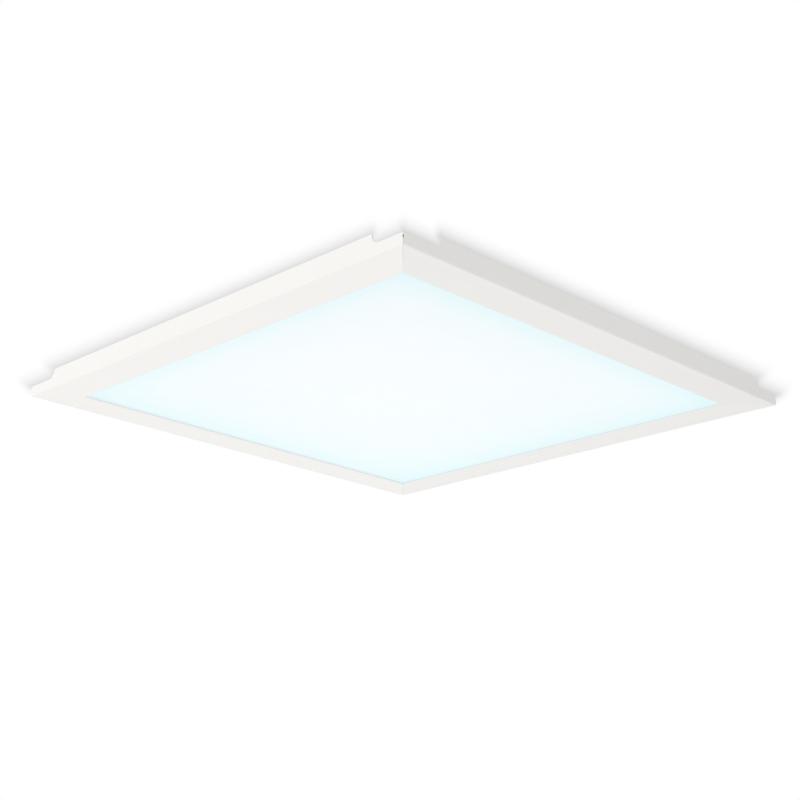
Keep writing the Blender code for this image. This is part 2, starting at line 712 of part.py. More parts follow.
def make_terminal_levers(orange):
    """Levers lying shut in the block, each on a pivot at its rear end."""
    half = LEVER_WIDTH / 2
    low = BLOCK_TOP - LEVER_THICKNESS - LEVER_PIVOT_Z
    high = BLOCK_TOP - LEVER_PIVOT_Z
    arm = box("lever", (-half, -LEVER_LENGTH, low), (half, 0.0, high))
    hub = rod("hub", LEVER_HUB_RADIUS, -half, half, (0.0, 0.0), ALONG_X, sides=24)
    end = half + TRUNNION_LENGTH
    trunnion = rod("trunnion", TRUNNION_RADIUS, -end, end, (0.0, 0.0), ALONG_X, sides=24)
    grip = box("grip", (-half - OVERRUN, -LEVER_LENGTH - OVERRUN, high - GRIP_DEPTH),
               (half + OVERRUN, GRIP_LENGTH - LEVER_LENGTH, high + OVERRUN))
    combine(arm, "UNION", [hub, trunnion])
    combine(arm, "DIFFERENCE", [grip])
    mesh = baked(arm)
    for pole, x in pole_centres().items():
        copy_of(mesh, f"terminal_lever_{pole}", orange, place=(x, LEVER_PIVOT_Y, LEVER_PIVOT_Z))


# ---------------------------------------------------------------- leads
def make_leads(sheath, rubber):
    """Lead from the block to the driver, and from the driver to the west light strip."""
    block_back = BLOCK_Y + BLOCK_SIZE[1] / 2
    end = DRIVER_LENGTH / 2
    supply = [(BLOCK_X, block_back - LEAD_MOUTH_DEPTH + GAP, LEAD_MOUTH_Z),
              (BLOCK_X, block_back + 0.002, LEAD_MOUTH_Z), (0.146, 0.0965, -0.0088),
              (0.136, 0.0985, -0.0086), (0.121, 0.095, -0.0072),
              (end + 0.006, SUPPLY_HOLE_Y, LEAD_HOLE_Z), (end - LEAD_END, SUPPLY_HOLE_Y, LEAD_HOLE_Z)]
    keep(tube("supply_lead", supply, SUPPLY_LEAD_RADIUS, 0.0035), sheath)
    low = ON_COVER + PANEL_LEAD_RADIUS
    y = DRIVER_Y
    panel = [(LEAD_END - end, PANEL_HOLE_Y, LEAD_HOLE_Z), (-0.110, PANEL_HOLE_Y, LEAD_HOLE_Z),
             (-0.119, 0.061, -0.0074), (-0.135, 0.064, low), (-0.165, 0.069, low),
             (-0.205, 0.0735, low), (-0.245, y, low), (-0.264, y, low + 0.0002), (-0.2735, y, -0.0080),
             (-0.2775, y, -0.0079), (GROMMET_X, y, -0.0098), (GROMMET_X, y, -0.0130),
             (-0.2793, 0.0738, -0.0152), (-0.2790, 0.0690, -0.0166),
             (-0.2772, 0.0635, -0.0168), (-0.2742, 0.0595, -0.0166),
             (-0.2722, -LEAD_SLOT_ALONG, -0.0164), (-0.2702, -LEAD_SLOT_ALONG, -0.0164)]
    keep(tube("panel_lead", panel, PANEL_LEAD_RADIUS, 0.0030), sheath)
    neck = GROMMET_HOLE - GAP
    bore = PANEL_LEAD_RADIUS + GAP
    top = ON_COVER + GROMMET_HEIGHT
    bottom = COVER_BOTTOM - GROMMET_TAIL
    flange = [(bore, top), (0.92 * GROMMET_FLANGE, top),
              (GROMMET_FLANGE, ON_COVER + GROMMET_HEIGHT / 2), (GROMMET_FLANGE, ON_COVER),
              (neck, ON_COVER), (neck, bottom), (bore, bottom)]
    mesh = baked(turned("lead_grommet", flange, closed=True))
    copy_of(mesh, "lead_grommet", rubber, place=(GROMMET_X, DRIVER_Y, 0.0))


# ---------------------------------------------------------------- ceiling rails and catches
def make_ceiling_rails(galvanised):
    """Z-section rails: a flange on the ceiling, a web, and a lip that the catches hold."""
    outline = [(RAIL_FLANGE_INNER, 0.0), (RAIL_WEB + RAIL_SHEET, 0.0),
               (RAIL_WEB + RAIL_SHEET, RAIL_LIP_TOP), (RAIL_LIP_OUTER, RAIL_LIP_TOP),
               (RAIL_LIP_OUTER, RAIL_LIP_TOP - RAIL_SHEET), (RAIL_WEB, RAIL_LIP_TOP - RAIL_SHEET),
               (RAIL_WEB, -RAIL_SHEET), (RAIL_FLANGE_INNER, -RAIL_SHEET)]
    rail = prism("ceiling_rail", [outline], -RAIL_LENGTH / 2, RAIL_LENGTH / 2, ALONG_Y)
    middle = (RAIL_FLANGE_INNER + RAIL_WEB) / 2
    cutters = []
    for y in (-RAIL_SLOT_ALONG, RAIL_SLOT_ALONG):
        cutters.append(prism("slot_cutter", [slot(middle, y, SLOT_WIDTH, SLOT_LENGTH)],
                             -RAIL_SHEET - OVERRUN, OVERRUN))
    mesh = baked(combine(rail, "DIFFERENCE", cutters))
    copy_of(mesh, "mounting_rail_east", galvanised, 0.0)
    copy_of(mesh, "mounting_rail_west", galvanised, 180.0)


def make_cross_strap(galvanised):
    """Flat strap between the rails, stepped down at its ends to lie under their flanges."""
    drop = RAIL_SHEET + GAP
    ramp = STRAP_JOGGLE + STRAP_RAMP
    inner = RAIL_SHEET * math.tan(math.atan2(drop, STRAP_RAMP) / 2)
    half = [(STRAP_JOGGLE, 0.0), (ramp, -drop), (STRAP_END, -drop), (STRAP_END, -drop - RAIL_SHEET),
            (ramp - inner, -drop - RAIL_SHEET), (STRAP_JOGGLE - inner, -RAIL_SHEET)]
    outline = half + [(-x, z) for x, z in reversed(half)]
    strap = prism("cross_strap", [outline], -STRAP_WIDTH / 2, STRAP_WIDTH / 2, ALONG_Y)
    below = -RAIL_SHEET - OVERRUN
    cutters = [rod("cable_hole", CABLE_HOLE_RADIUS, below, OVERRUN, (CABLE_HOLE_X, 0.0), sides=24)]
    for x in (-STRAP_SLOT_X, STRAP_SLOT_X):
        cutters.append(prism("slot_cutter", [slot(x, 0.0, SLOT_WIDTH, SLOT_LENGTH)], below, OVERRUN))
    keep(combine(strap, "DIFFERENCE", cutters), galvanised)


def make_cable_sleeve(rubber):
    """Rubber edging in the strap's hole, where the supply cable comes down."""
    neck = CABLE_HOLE_RADIUS - GAP
    under = -RAIL_SHEET - GAP
    rim = neck + SLEEVE_RIM
    bottom = under - SLEEVE_RIM_DEPTH
    profile = [(neck, -GAP), (neck, under), (rim, under), (rim, bottom + 0.4 * SLEEVE_RIM_DEPTH),
               (rim - 0.25 * SLEEVE_RIM, bottom), (CABLE_BORE_RADIUS, bottom), (CABLE_BORE_RADIUS, -GAP)]
    mesh = baked(turned("cable_sleeve", profile, closed=True, steps=24))
    copy_of(mesh, "cable_sleeve", rubber, place=(CABLE_HOLE_X, 0.0, 0.0))


def catch_mesh():
    """Turn catch about its own pivot: nose to -X over the rail's lip, finger tail to +X."""
    nose_turn = math.degrees(math.asin(CATCH_NOSE_HALF / CATCH_HUB))
    tail_turn = math.degrees(math.asin(CATCH_TAIL_HALF / CATCH_HUB))
    upper = [(CATCH_TAIL, CATCH_TAIL_HALF)]
    upper += arc(0, 0, CATCH_HUB, tail_turn, 180 - nose_turn, 5)
    upper += [(CATCH_NOSE_CHAMFER - CATCH_NOSE, CATCH_NOSE_HALF),
              (-CATCH_NOSE, CATCH_NOSE_HALF - CATCH_NOSE_CHAMFER)]
    outline = upper + [(x, -y) for x, y in reversed(upper)]
    plate = prism("catch", [outline, circle(0, 0, CATCH_BORE, 24)], CATCH_BOTTOM, CATCH_TOP)
    tab = box("tab", (CATCH_TAIL - CATCH_TAB_THICKNESS, -CATCH_TAIL_HALF, CATCH_BOTTOM),
              (CATCH_TAIL, CATCH_TAIL_HALF, CATCH_TAB_TOP))
    return baked(combine(plate, "UNION", [tab]))


def post_mesh():
    """Shouldered post: riveted flush in the cover, with a collar, a journal and a head."""
    over = CATCH_TOP + POST_PLAY
    under = CATCH_BOTTOM - POST_PLAY
    top = CATCH_TOP + POST_HEAD_HEIGHT
    profile = [(0.0, top), (0.9 * POST_HEAD, top), (POST_HEAD, top - 0.1 * POST_HEAD),
               (POST_HEAD, over), (POST_SHAFT, over), (POST_SHAFT, under), (POST_HEAD, under),
               (POST_HEAD, ON_COVER), (POST_TAIL, ON_COVER), (POST_TAIL, COVER_BOTTOM),
               (0.0, COVER_BOTTOM)]
    return baked(turned("post", profile, steps=24))


def make_catches(yellow, zinc):
    catch = catch_mesh()
    post = post_mesh()
    for corner, (sx, sy) in CORNERS.items():
        place = (sx * CATCH_CENTRE, sy * CATCH_CENTRE, 0.0)
        copy_of(catch, f"catch_{corner}", yellow, 0.0 if sx > 0 else 180.0, place)
        copy_of(post, f"catch_post_{corner}", zinc, 0.0, place)


# ---------------------------------------------------------------- the lamp
clear_scene()
LAMP = new_collection("ceiling_panel_light")
CUTTERS = new_collection("cutters")

white_paint = finish_material("white_paint", (0.86, 0.86, 0.85), 0.42)
cover_paint = finish_material("cover_paint", (0.80, 0.80, 0.79), 0.50)
zinc_plate = finish_material("zinc_plate", (0.70, 0.71, 0.72), 0.30, 1.0)
galvanised_steel = finish_material("galvanised_steel", (0.62, 0.64, 0.65), 0.42, 1.0)
opal_sheet = finish_material("opal_sheet", (0.90, 0.96, 1.00), 0.35, glow=(0.88, 0.98, 1.00))
clear_acrylic = finish_material("clear_acrylic", (0.93, 0.96, 0.96), 0.08)
reflector_white = finish_material("reflector_white", (0.94, 0.94, 0.93), 0.20)
foam_white = finish_material("foam_white", (0.88, 0.88, 0.86), 0.95)
strip_white = finish_material("strip_white", (0.92, 0.92, 0.88), 0.40)
copper_wire = finish_material("copper_wire", (0.75, 0.40, 0.25), 0.35, 1.0)
driver_plastic = finish_material("driver_plastic", (0.90, 0.90, 0.89), 0.45)
board_green = finish_material("board_green", (0.05, 0.30, 0.12), 0.45)
ferrite_black = finish_material("ferrite_black", (0.07, 0.07, 0.08), 0.55)
sleeve_blue = finish_material("sleeve_blue", (0.08, 0.12, 0.28), 0.35)
switch_black = finish_material("switch_black", (0.05, 0.05, 0.05), 0.40)
block_grey = finish_material("block_grey", (0.62, 0.63, 0.64), 0.40)
lever_orange = finish_material("lever_orange", (0.90, 0.36, 0.05), 0.38)
sheath_white = finish_material("sheath_white", (0.88, 0.88, 0.87), 0.50)
rubber_black = finish_material("rubber_black", (0.04, 0.04, 0.04), 0.75)
catch_nylon = finish_material("catch_nylon", (0.83, 0.83, 0.80), 0.45)

make_frame(white_paint)
make_corner_keys(zinc_plate)
make_frame_screws(zinc_plate)
make_optics(opal_sheet, clear_acrylic, reflector_white, foam_white)
make_light_strips(strip_white)
make_jumpers(copper_wire)
make_back_cover(cover_paint)
make_driver_base(driver_plastic)
make_driver_lid(driver_plastic)
make_driver_board(board_green)
make_driver_parts(ferrite_black, sleeve_blue)
make_driver_screws(zinc_plate)
make_tone_switch(switch_black)
make_terminal_block(block_grey)
make_terminal_levers(lever_orange)
make_leads(sheath_white, rubber_black)
make_ceiling_rails(galvanised_steel)
make_cross_strap(galvanised_steel)
make_cable_sleeve(rubber_black)
make_catches(catch_nylon, zinc_plate)
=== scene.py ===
import json
import math

import bmesh
import bpy
from mathutils import Matrix, Vector


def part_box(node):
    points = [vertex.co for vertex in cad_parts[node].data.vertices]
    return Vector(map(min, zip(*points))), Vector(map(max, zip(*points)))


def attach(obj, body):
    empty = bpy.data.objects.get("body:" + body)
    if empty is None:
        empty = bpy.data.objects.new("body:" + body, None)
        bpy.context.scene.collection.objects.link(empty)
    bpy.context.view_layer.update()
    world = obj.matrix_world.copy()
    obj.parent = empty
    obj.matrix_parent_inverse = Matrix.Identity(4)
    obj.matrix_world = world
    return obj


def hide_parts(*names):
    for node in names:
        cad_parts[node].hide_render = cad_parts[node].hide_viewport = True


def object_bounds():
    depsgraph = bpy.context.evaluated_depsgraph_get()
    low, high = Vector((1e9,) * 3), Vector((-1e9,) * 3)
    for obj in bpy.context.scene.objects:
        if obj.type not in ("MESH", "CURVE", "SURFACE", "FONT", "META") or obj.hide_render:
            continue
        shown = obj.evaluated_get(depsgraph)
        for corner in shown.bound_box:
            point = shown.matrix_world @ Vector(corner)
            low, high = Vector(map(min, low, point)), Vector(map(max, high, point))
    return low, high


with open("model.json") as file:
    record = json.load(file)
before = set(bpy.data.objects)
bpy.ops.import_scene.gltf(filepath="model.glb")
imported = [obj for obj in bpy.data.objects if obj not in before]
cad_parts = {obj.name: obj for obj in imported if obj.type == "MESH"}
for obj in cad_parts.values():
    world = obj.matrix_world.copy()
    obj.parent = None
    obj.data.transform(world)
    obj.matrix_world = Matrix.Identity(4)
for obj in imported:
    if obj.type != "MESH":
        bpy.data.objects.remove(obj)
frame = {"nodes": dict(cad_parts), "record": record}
CAD_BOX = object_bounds()

# ---------------------------------------------------------------- places, from the frame
HALF = CAD_BOX[1].x                      # half the lamp's side
BOTTOM = CAD_BOX[0].z                    # underside of the bezel
CEILING = 0.0
SIDES = {"south": 0.0, "east": 90.0, "north": 180.0, "west": 270.0}
CORNERS = {"sw": (-1, -1), "se": (1, -1), "ne": (1, 1), "nw": (-1, 1)}

RAIL_LOW, RAIL_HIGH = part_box("frame_rail_south")
COVER_LOW, COVER_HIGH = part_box("back_cover")
DRIVER_LOW, DRIVER_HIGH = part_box("driver_base")
LID_LOW, LID_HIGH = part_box("driver_lid")
BLOCK_LOW, BLOCK_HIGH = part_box("terminal_block")
STRIP_LOW, STRIP_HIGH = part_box("led_strip_south")
GUIDE_LOW, GUIDE_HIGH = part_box("light_guide")

BEZEL_WIDTH = RAIL_HIGH.y - RAIL_LOW.y
OPENING = HALF - BEZEL_WIDTH             # half the square the light comes out of
GAP = 0.0003                             # left between pieces that touch
OVERRUN = 0.001                          # cutters reach this far past what they cut
ON_COVER = COVER_HIGH.z + GAP
WALL = 0.0015                            # wall of the frame's extrusion
NOTCH_FLOOR = COVER_HIGH.z + 0.0008
NOTCH_LEFT = 0.046
NOTCH_RIGHT = 0.039
NOTCH_FILLET = 0.009
NOTCH_ROUND = 0.0012                     # rounding at the top of each notch's end
OUTER_RADIUS = 0.0012
LIP_RADIUS = 0.0005
RAIL_EDGE = 0.00018
SKIRT_ROUND = 0.0003
MITRE_SETBACK = 0.0001
MITRE_RELIEF = 0.0007                    # the walls' mitres stand a little open at their tops
MITRE_RELIEF_DEPTH = 0.005
LEDGE_DEPTH = 0.0105
LEDGE_THICKNESS = 0.003
RIB_OUTER = 0.026
SCREW_HOLE_RADIUS = 0.0018
SCREW_DEPTH = 0.006
SCREW_FROM_CORNER = 0.040
LEAD_SLOT = (0.004, 0.0042, 0.0008)      # slot in the rib for the panel lead, and its corners
LEAD_SLOT_ALONG = -0.058
LEAD_SLOT_BASE = 0.002
LED_COUNT = 24
LED_PITCH = (STRIP_HIGH.x - STRIP_LOW.x) / LED_COUNT
LED_LEVEL = (GUIDE_LOW.z + GUIDE_HIGH.z) / 2
LED_WINDOW = (0.0032, 0.0016)            # recessed phosphor window of a package


# ---------------------------------------------------------------- tools for shapes
# the turn that lays an outline for a prism, and the axis that the prism then runs along
FLAT = Matrix.Identity(4), Vector((0, 0, 1))
ALONG_Y = Matrix.Rotation(math.radians(90), 4, "X"), Vector((0, 1, 0))
ALONG_X = Matrix(((0, 0, 1, 0), (1, 0, 0, 0), (0, 1, 0, 0), (0, 0, 0, 1))), Vector((1, 0, 0))
MERGE_DISTANCE = 1e-6
FLAT_ANGLE = math.radians(0.3)           # faces that turn less than this are one face
SHARP_ANGLE = math.radians(32)
NORMAL_WEIGHT = 80                       # from 1 to 100: over 50, the larger faces lead


def draft(name, data):
    """An object still being made."""
    obj = bpy.data.objects.new(name, data)
    bpy.context.scene.collection.objects.link(obj)
    return obj


def tidy_mesh(mesh, flatten=True):
    """Join coincident corners, merge flat neighbours and turn every face outwards."""
    shape = bmesh.new()
    shape.from_mesh(mesh)
    bmesh.ops.remove_doubles(shape, verts=shape.verts, dist=MERGE_DISTANCE)
    if flatten:
        bmesh.ops.dissolve_limit(shape, angle_limit=FLAT_ANGLE, verts=shape.verts, edges=shape.edges)
    bmesh.ops.recalc_face_normals(shape, faces=shape.faces)
    shape.to_mesh(mesh)
    shape.free()


def baked(obj, flatten=True):
    """The mesh an object shows, with the object removed."""
    bpy.context.view_layer.update()
    seen = obj.evaluated_get(bpy.context.evaluated_depsgraph_get())
    mesh = bpy.data.meshes.new_from_object(seen)
    mesh.transform(obj.matrix_world)
    bpy.data.objects.remove(obj, do_unlink=True)
    tidy_mesh(mesh, flatten)
    return mesh


def prism(name, loops, low, high, way=FLAT):
    """A closed solid from an outline and its holes, between two levels along Z, Y or X."""
    curve = bpy.data.curves.new(name, "CURVE")
    curve.dimensions = "2D"
    curve.fill_mode = "BOTH"
    curve.extrude = (high - low) / 2
    for loop in loops:
        spline = curve.splines.new("POLY")
        spline.points.add(len(loop) - 1)
        for point, (across, up) in zip(spline.points, loop):
            point.co = (across, up, 0.0, 1.0)
        spline.use_cyclic_u = True
    turn, axis = way
    mesh = baked(draft(name, curve))
    mesh.transform(turn)
    mesh.transform(Matrix.Translation(axis * (low + high) / 2))
    tidy_mesh(mesh)
    return draft(name, mesh)


def box(name, low, high):
    """A block between two corners."""
    bpy.ops.mesh.primitive_cube_add(size=1.0)
    obj = bpy.context.object
    obj.name = name
    size = [b - a for a, b in zip(low, high)]
    middle = [(a + b) / 2 for a, b in zip(low, high)]
    obj.data.transform(Matrix.Translation(middle) @ Matrix.Diagonal((*size, 1.0)))
    return obj


def rod(name, radius, low, high, at, way=FLAT, sides=32):
    """A round bar between two levels, its axis through `at`."""
    return prism(name, [circle(at[0], at[1], radius, sides)], low, high, way)


def circle(x, y, radius, sides=32):
    """A round outline."""
    turns = [2 * math.pi * i / sides for i in range(sides)]
    return [(x + radius * math.cos(t), y + radius * math.sin(t)) for t in turns]


def arc(x, y, radius, start, end, steps):
    """Points round a centre, from one angle in degrees to another."""
    turns = [math.radians(start + (end - start) * i / steps) for i in range(steps + 1)]
    return [(x + radius * math.cos(t), y + radius * math.sin(t)) for t in turns]


def rounded(x, y, width, length, radius, steps=6):
    """A rounded rectangle centred on x, y."""
    across = width / 2 - radius
    along = length / 2 - radius
    points = []
    for sx, sy, start in ((1, 1, 0), (-1, 1, 90), (-1, -1, 180), (1, -1, 270)):
        points += arc(x + sx * across, y + sy * along, radius, start, start + 90, steps)
    return points


def slot(x, y, width, length, steps=10):
    """A slot with round ends, long in Y."""
    along = (length - width) / 2
    return (arc(x, y + along, width / 2, 0, 180, steps)
            + arc(x, y - along, width / 2, 180, 360, steps))


def turned(name, profile, closed=False, steps=40):
    """A turned solid about Z, from (radius, height) points down its outer side."""
    mesh = bpy.data.meshes.new(name)
    last = len(profile) - 1
    edges = [(i, i + 1) for i in range(last)]
    if closed:
        edges.append((last, 0))
    mesh.from_pydata([(r, 0.0, z) for r, z in profile], edges, [])
    obj = draft(name, mesh)
    screw = obj.modifiers.new("Turn", "SCREW")
    screw.steps = steps
    screw.render_steps = steps
    screw.use_merge_vertices = True
    screw.merge_threshold = 0.00001
    return draft(name, baked(obj, flatten=False))


def smooth_path(points, spacing):
    """Evenly smoothed route through given points (Catmull-Rom)."""
    knots = [Vector(p) for p in points]
    knots = [2 * knots[0] - knots[1]] + knots + [2 * knots[-1] - knots[-2]]
    route = []
    for a, b, c, d in zip(knots, knots[1:], knots[2:], knots[3:]):
        count = max(1, round((c - b).length / spacing))
        for i in range(count):
            t = i / count
            route.append(0.5 * (2 * b + (c - a) * t + (2 * a - 5 * b + 4 * c - d) * t * t
                                + (3 * b - a - 3 * c + d) * t * t * t))
    return route + [knots[-2]]


def tube(name, route, radius, widths):
    """The mesh of a capped round wire along a route, `radius` times a width at each point."""
    curve = bpy.data.curves.new(name, "CURVE")
    curve.dimensions = "3D"
    curve.bevel_depth = radius
    curve.bevel_resolution = 4
    curve.use_fill_caps = True
    spline = curve.splines.new("POLY")
    spline.points.add(len(route) - 1)
    for point, place, width in zip(spline.points, route, widths):
        point.co = (*place, 1.0)
        point.radius = width
    return baked(draft(name, curve), flatten=False)


def combined(obj, kind, tools):
    """An object after Booleans with others, done one by one; the others are used up."""
    for tool in tools:
        modifier = obj.modifiers.new(kind.title(), "BOOLEAN")
        modifier.solver = "EXACT"
        modifier.operation = kind
        modifier.object = tool
        obj = draft(obj.name, baked(obj, flatten=False))
        bpy.data.objects.remove(tool, do_unlink=True)
    tidy_mesh(obj.data)
    return obj


def joined(name, parts):
    """One mesh holding several closed drafts."""
    shape = bmesh.new()
    for part in parts:
        shape.from_mesh(mesh_of(part))
    mesh = bpy.data.meshes.new(name)
    shape.to_mesh(mesh)
    shape.free()
    return mesh


def softened(obj, width, segments=2, angle=35.0):
    """The object with its sharp edges rounded."""
    bevel = obj.modifiers.new("Edges", "BEVEL")
    bevel.width = width
    bevel.segments = segments
    bevel.limit_method = "ANGLE"
    bevel.angle_limit = math.radians(angle)
    return draft(obj.name, baked(obj, flatten=False))


def mesh_of(obj):
    """Take the mesh out of a draft and drop the draft."""
    mesh = obj.data
    bpy.data.objects.remove(obj, do_unlink=True)
    return mesh


def carved(obj, cutters, width, angle=50.0):
    """The mesh that cutters leave of an object, with its sharp edges rounded."""
    return mesh_of(softened(combined(obj, "DIFFERENCE", cutters), width, 2, angle))


def show(mesh, node_name, body="root", degrees=0.0, place=(0, 0, 0), material=None, name=None):
    """Put a finished mesh in the scene as a piece that stands for a CAD node, in its material or another."""
    obj = draft(name or node_name + "_detailed", mesh)
    obj.location = place
    obj.rotation_euler.z = math.radians(degrees)
    if not mesh.materials:
        mesh.materials.append(material or MATERIALS[SLOTS[node_name]])
    mesh.shade_smooth()
    mesh.set_sharp_from_angle(angle=SHARP_ANGLE)
    weighted = obj.modifiers.new("Normals", "WEIGHTED_NORMAL")
    weighted.keep_sharp = True
    weighted.weight = NORMAL_WEIGHT
    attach(obj, body)
    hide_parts(node_name)


# ---------------------------------------------------------------- tools for materials
NOISE_RANGE = (0.3, 0.7)                 # most of a noise texture's values lie in it


def node(tree, kind, inputs=None, **settings):
    """A shader node with its settings and inputs; an input may be a value or a socket."""
    made = tree.nodes.new(kind)
    for key, value in settings.items():
        setattr(made, key, value)
    for key, value in (inputs or {}).items():
        if isinstance(value, bpy.types.NodeSocket):
            tree.links.new(value, made.inputs[key])
        else:
            made.inputs[key].default_value = value
    return made


def maths(tree, operation, first, second=0.0):
    """A value worked out from one or two others."""
    return node(tree, "ShaderNodeMath", {0: first, 1: second}, operation=operation).outputs[0]


def place_of(tree):
    """The point on the object, in metres."""
    return node(tree, "ShaderNodeTexCoord").outputs["Object"]


def parts_of(tree, vector):
    """The x, y and z of a vector."""
    return node(tree, "ShaderNodeSeparateXYZ", {0: vector}).outputs


def stretched(tree, scale):
    """The point on the object, stretched by `scale`."""
    return node(tree, "ShaderNodeMapping", {"Vector": place_of(tree), "Scale": scale}).outputs[0]


def noise(tree, scale, detail=2.0, rough=0.5, stretch=(1, 1, 1)):
    """Noise with `scale` bumps to the metre."""
    return node(tree, "ShaderNodeTexNoise", {"Vector": stretched(tree, stretch), "Scale": scale,
                                             "Detail": detail, "Roughness": rough}).outputs[0]


def cells(tree, scale, output="Distance", stretch=(1, 1, 1)):
    """Voronoi cells, `scale` to the metre."""
    return node(tree, "ShaderNodeTexVoronoi", {"Vector": stretched(tree, stretch),
                                               "Scale": scale}).outputs[output]


def spread(tree, value, low, high, to_low=0.0, to_high=1.0):
    """Map a value from one range to another, held at the ends."""
    return node(tree, "ShaderNodeMapRange", {"Value": value, "From Min": low, "From Max": high,
                                             "To Min": to_low, "To Max": to_high}).outputs[0]


def drifting(tree, low, high, scale, detail=2.0):
    """A value that drifts between two others over the surface."""
    return spread(tree, noise(tree, scale, detail), *NOISE_RANGE, low, high)


def band(tree, value, centre, half, soft):
    """1 within `half` of the centre, falling to 0 over `soft`."""
    off = maths(tree, "ABSOLUTE", maths(tree, "SUBTRACT", value, centre))
    return spread(tree, off, half, half + soft, 1.0, 0.0)


def blended(tree, factor, first, second):
    """Two colours mixed; a colour may be a tuple or a socket."""
    mixed = node(tree, "ShaderNodeMix", data_type="RGBA")
    for index, value in ((0, factor), (6, first), (7, second)):
        if isinstance(value, bpy.types.NodeSocket):
            tree.links.new(value, mixed.inputs[index])
        elif index:
            mixed.inputs[index].default_value = (*value, 1.0)
        else:
            mixed.inputs[index].default_value = value
    return mixed.outputs[2]


def tinged(tree, base, mask, share, colour):
    """A base colour turned part of the way to another where a mask is high."""
    return blended(tree, maths(tree, "MULTIPLY", mask, share), base, colour)


def begun(name, metallic=0.0, specular=0.5):
    """A new material and its node tree."""
    material = bpy.data.materials.new(name)
    material.use_nodes = True
    surface = material.node_tree.nodes["Principled BSDF"]
    surface.inputs["Metallic"].default_value = metallic
    surface.inputs["Specular IOR Level"].default_value = specular
    return material, material.node_tree


def dressed(material, colour, roughness, heights, light=None):
    """The material with its colour, roughness, light and (height, depth in metres) bumps joined up."""
    tree = material.node_tree
    surface = tree.nodes["Principled BSDF"]
    sockets = {"Base Color": colour, "Roughness": roughness}
    for height, depth in heights:
        inputs = {"Height": height, "Distance": depth, "Strength": 1.0}
        if "Normal" in sockets:
            inputs["Normal"] = sockets["Normal"]
        sockets["Normal"] = node(tree, "ShaderNodeBump", inputs).outputs[0]
    if light:
        sockets["Emission Color"] = light
        surface.inputs["Emission Strength"].default_value = 1.0
    for key, socket in sockets.items():
        tree.links.new(socket, surface.inputs[key])
    return material


def shaded(colour, amount):
    """A colour made lighter or darker."""
    return tuple(c * amount for c in colour)


def mottled(tree, colour, amount, scale):
    """A colour that drifts a little lighter and darker over the surface."""
    drift = noise(tree, scale, 3.0, 0.55)
    lighter = min(1 + amount, 1.0 / max(colour))
    return blended(tree, drift, shaded(colour, 1 - amount), shaded(colour, lighter))


# ---------------------------------------------------------------- materials
def powder_coat(name, colour):
    """White powder coat: fine orange peel, soft sheen, faint clouding and specks of dust."""
    material, tree = begun(name, specular=0.5)
    base = mottled(tree, colour, 0.010, 14)
    specks = spread(tree, cells(tree, 900), 0.03, 0.06, 1.0, 0.0)
    rare = spread(tree, noise(tree, 60, 1.0), 0.62, 0.70)
    base = tinged(tree, base, maths(tree, "MULTIPLY", specks, rare), 0.5, shaded(colour, 0.8))
    rough = drifting(tree, 0.40, 0.50, 35, 3.0)
    peel = noise(tree, 1100, 2.0, 0.6)
    wave = noise(tree, 260, 1.0, 0.4)
    return dressed(material, base, rough, [(wave, 0.00002), (peel, 0.000012)])


def coil_coat(name, colour):
    """Coil-coated steel sheet: rolled grain one way, slightly uneven gloss, handling marks."""
    material, tree = begun(name, specular=0.45)
    base = mottled(tree, colour, 0.02, 6)
    smudge = spread(tree, noise(tree, 9, 4.0, 0.65), 0.55, 0.75)
    base = tinged(tree, base, smudge, 0.25, shaded(colour, 0.86))
    grain = noise(tree, 700, 2.0, 0.5, (1.0, 0.05, 1.0))
    rough = drifting(tree, 0.36, 0.56, 18, 4.0)
    return dressed(material, base, rough, [(grain, 0.000012), (noise(tree, 1500), 0.000008)])


def zinc(name):
    """Bright zinc plating with a faint blue and straw passivation."""
    material, tree = begun(name, metallic=1.0)
    drift = noise(tree, 320, 3.0, 0.6)
    base = blended(tree, drift, (0.60, 0.64, 0.70), (0.80, 0.78, 0.70))
    dull = spread(tree, noise(tree, 900, 4.0, 0.7), 0.35, 0.75, 0.22, 0.48)
    turning = noise(tree, 2500, 2.0, 0.5, (1.0, 1.0, 0.1))
    return dressed(material, base, dull, [(turning, 0.00001)])


def galvanised(name):
    """Hot-dip galvanised sheet: crystal spangle, rolling streaks and white bloom."""
    material, tree = begun(name, metallic=1.0)
    crystal = node(tree, "ShaderNodeSeparateColor", {0: cells(tree, 170, "Color")}).outputs[0]
    small = node(tree, "ShaderNodeSeparateColor", {0: cells(tree, 420, "Color")}).outputs[1]
    facet = maths(tree, "ADD", maths(tree, "MULTIPLY", crystal, 0.65),
                  maths(tree, "MULTIPLY", small, 0.35))
    base = blended(tree, facet, (0.56, 0.58, 0.595), (0.77, 0.79, 0.80))
    bloom = spread(tree, noise(tree, 24, 4.0, 0.6), 0.52, 0.72)
    base = tinged(tree, base, bloom, 0.35, (0.80, 0.81, 0.81))
    rough = spread(tree, facet, 0.0, 1.0, 0.30, 0.52)
    streak = noise(tree, 500, 2.0, 0.5, (1.0, 0.04, 1.0))
    return dressed(material, base, rough, [(facet, 0.000015), (streak, 0.000008)])


GLOW = (0.739, 0.769, 0.783)             # the sheet's light at its middle: red, green and blue
GLOW_LOSS = (1.0, 0.19, 0.12)            # how much of the tint each loses
GLOW_SIDES = (                           # axis, sign, depth and reach of the tint at each side
    (0, 1, 0.198, 0.034), (0, -1, 0.180, 0.073), (1, 1, 0.198, 0.077), (1, -1, 0.172, 0.029))


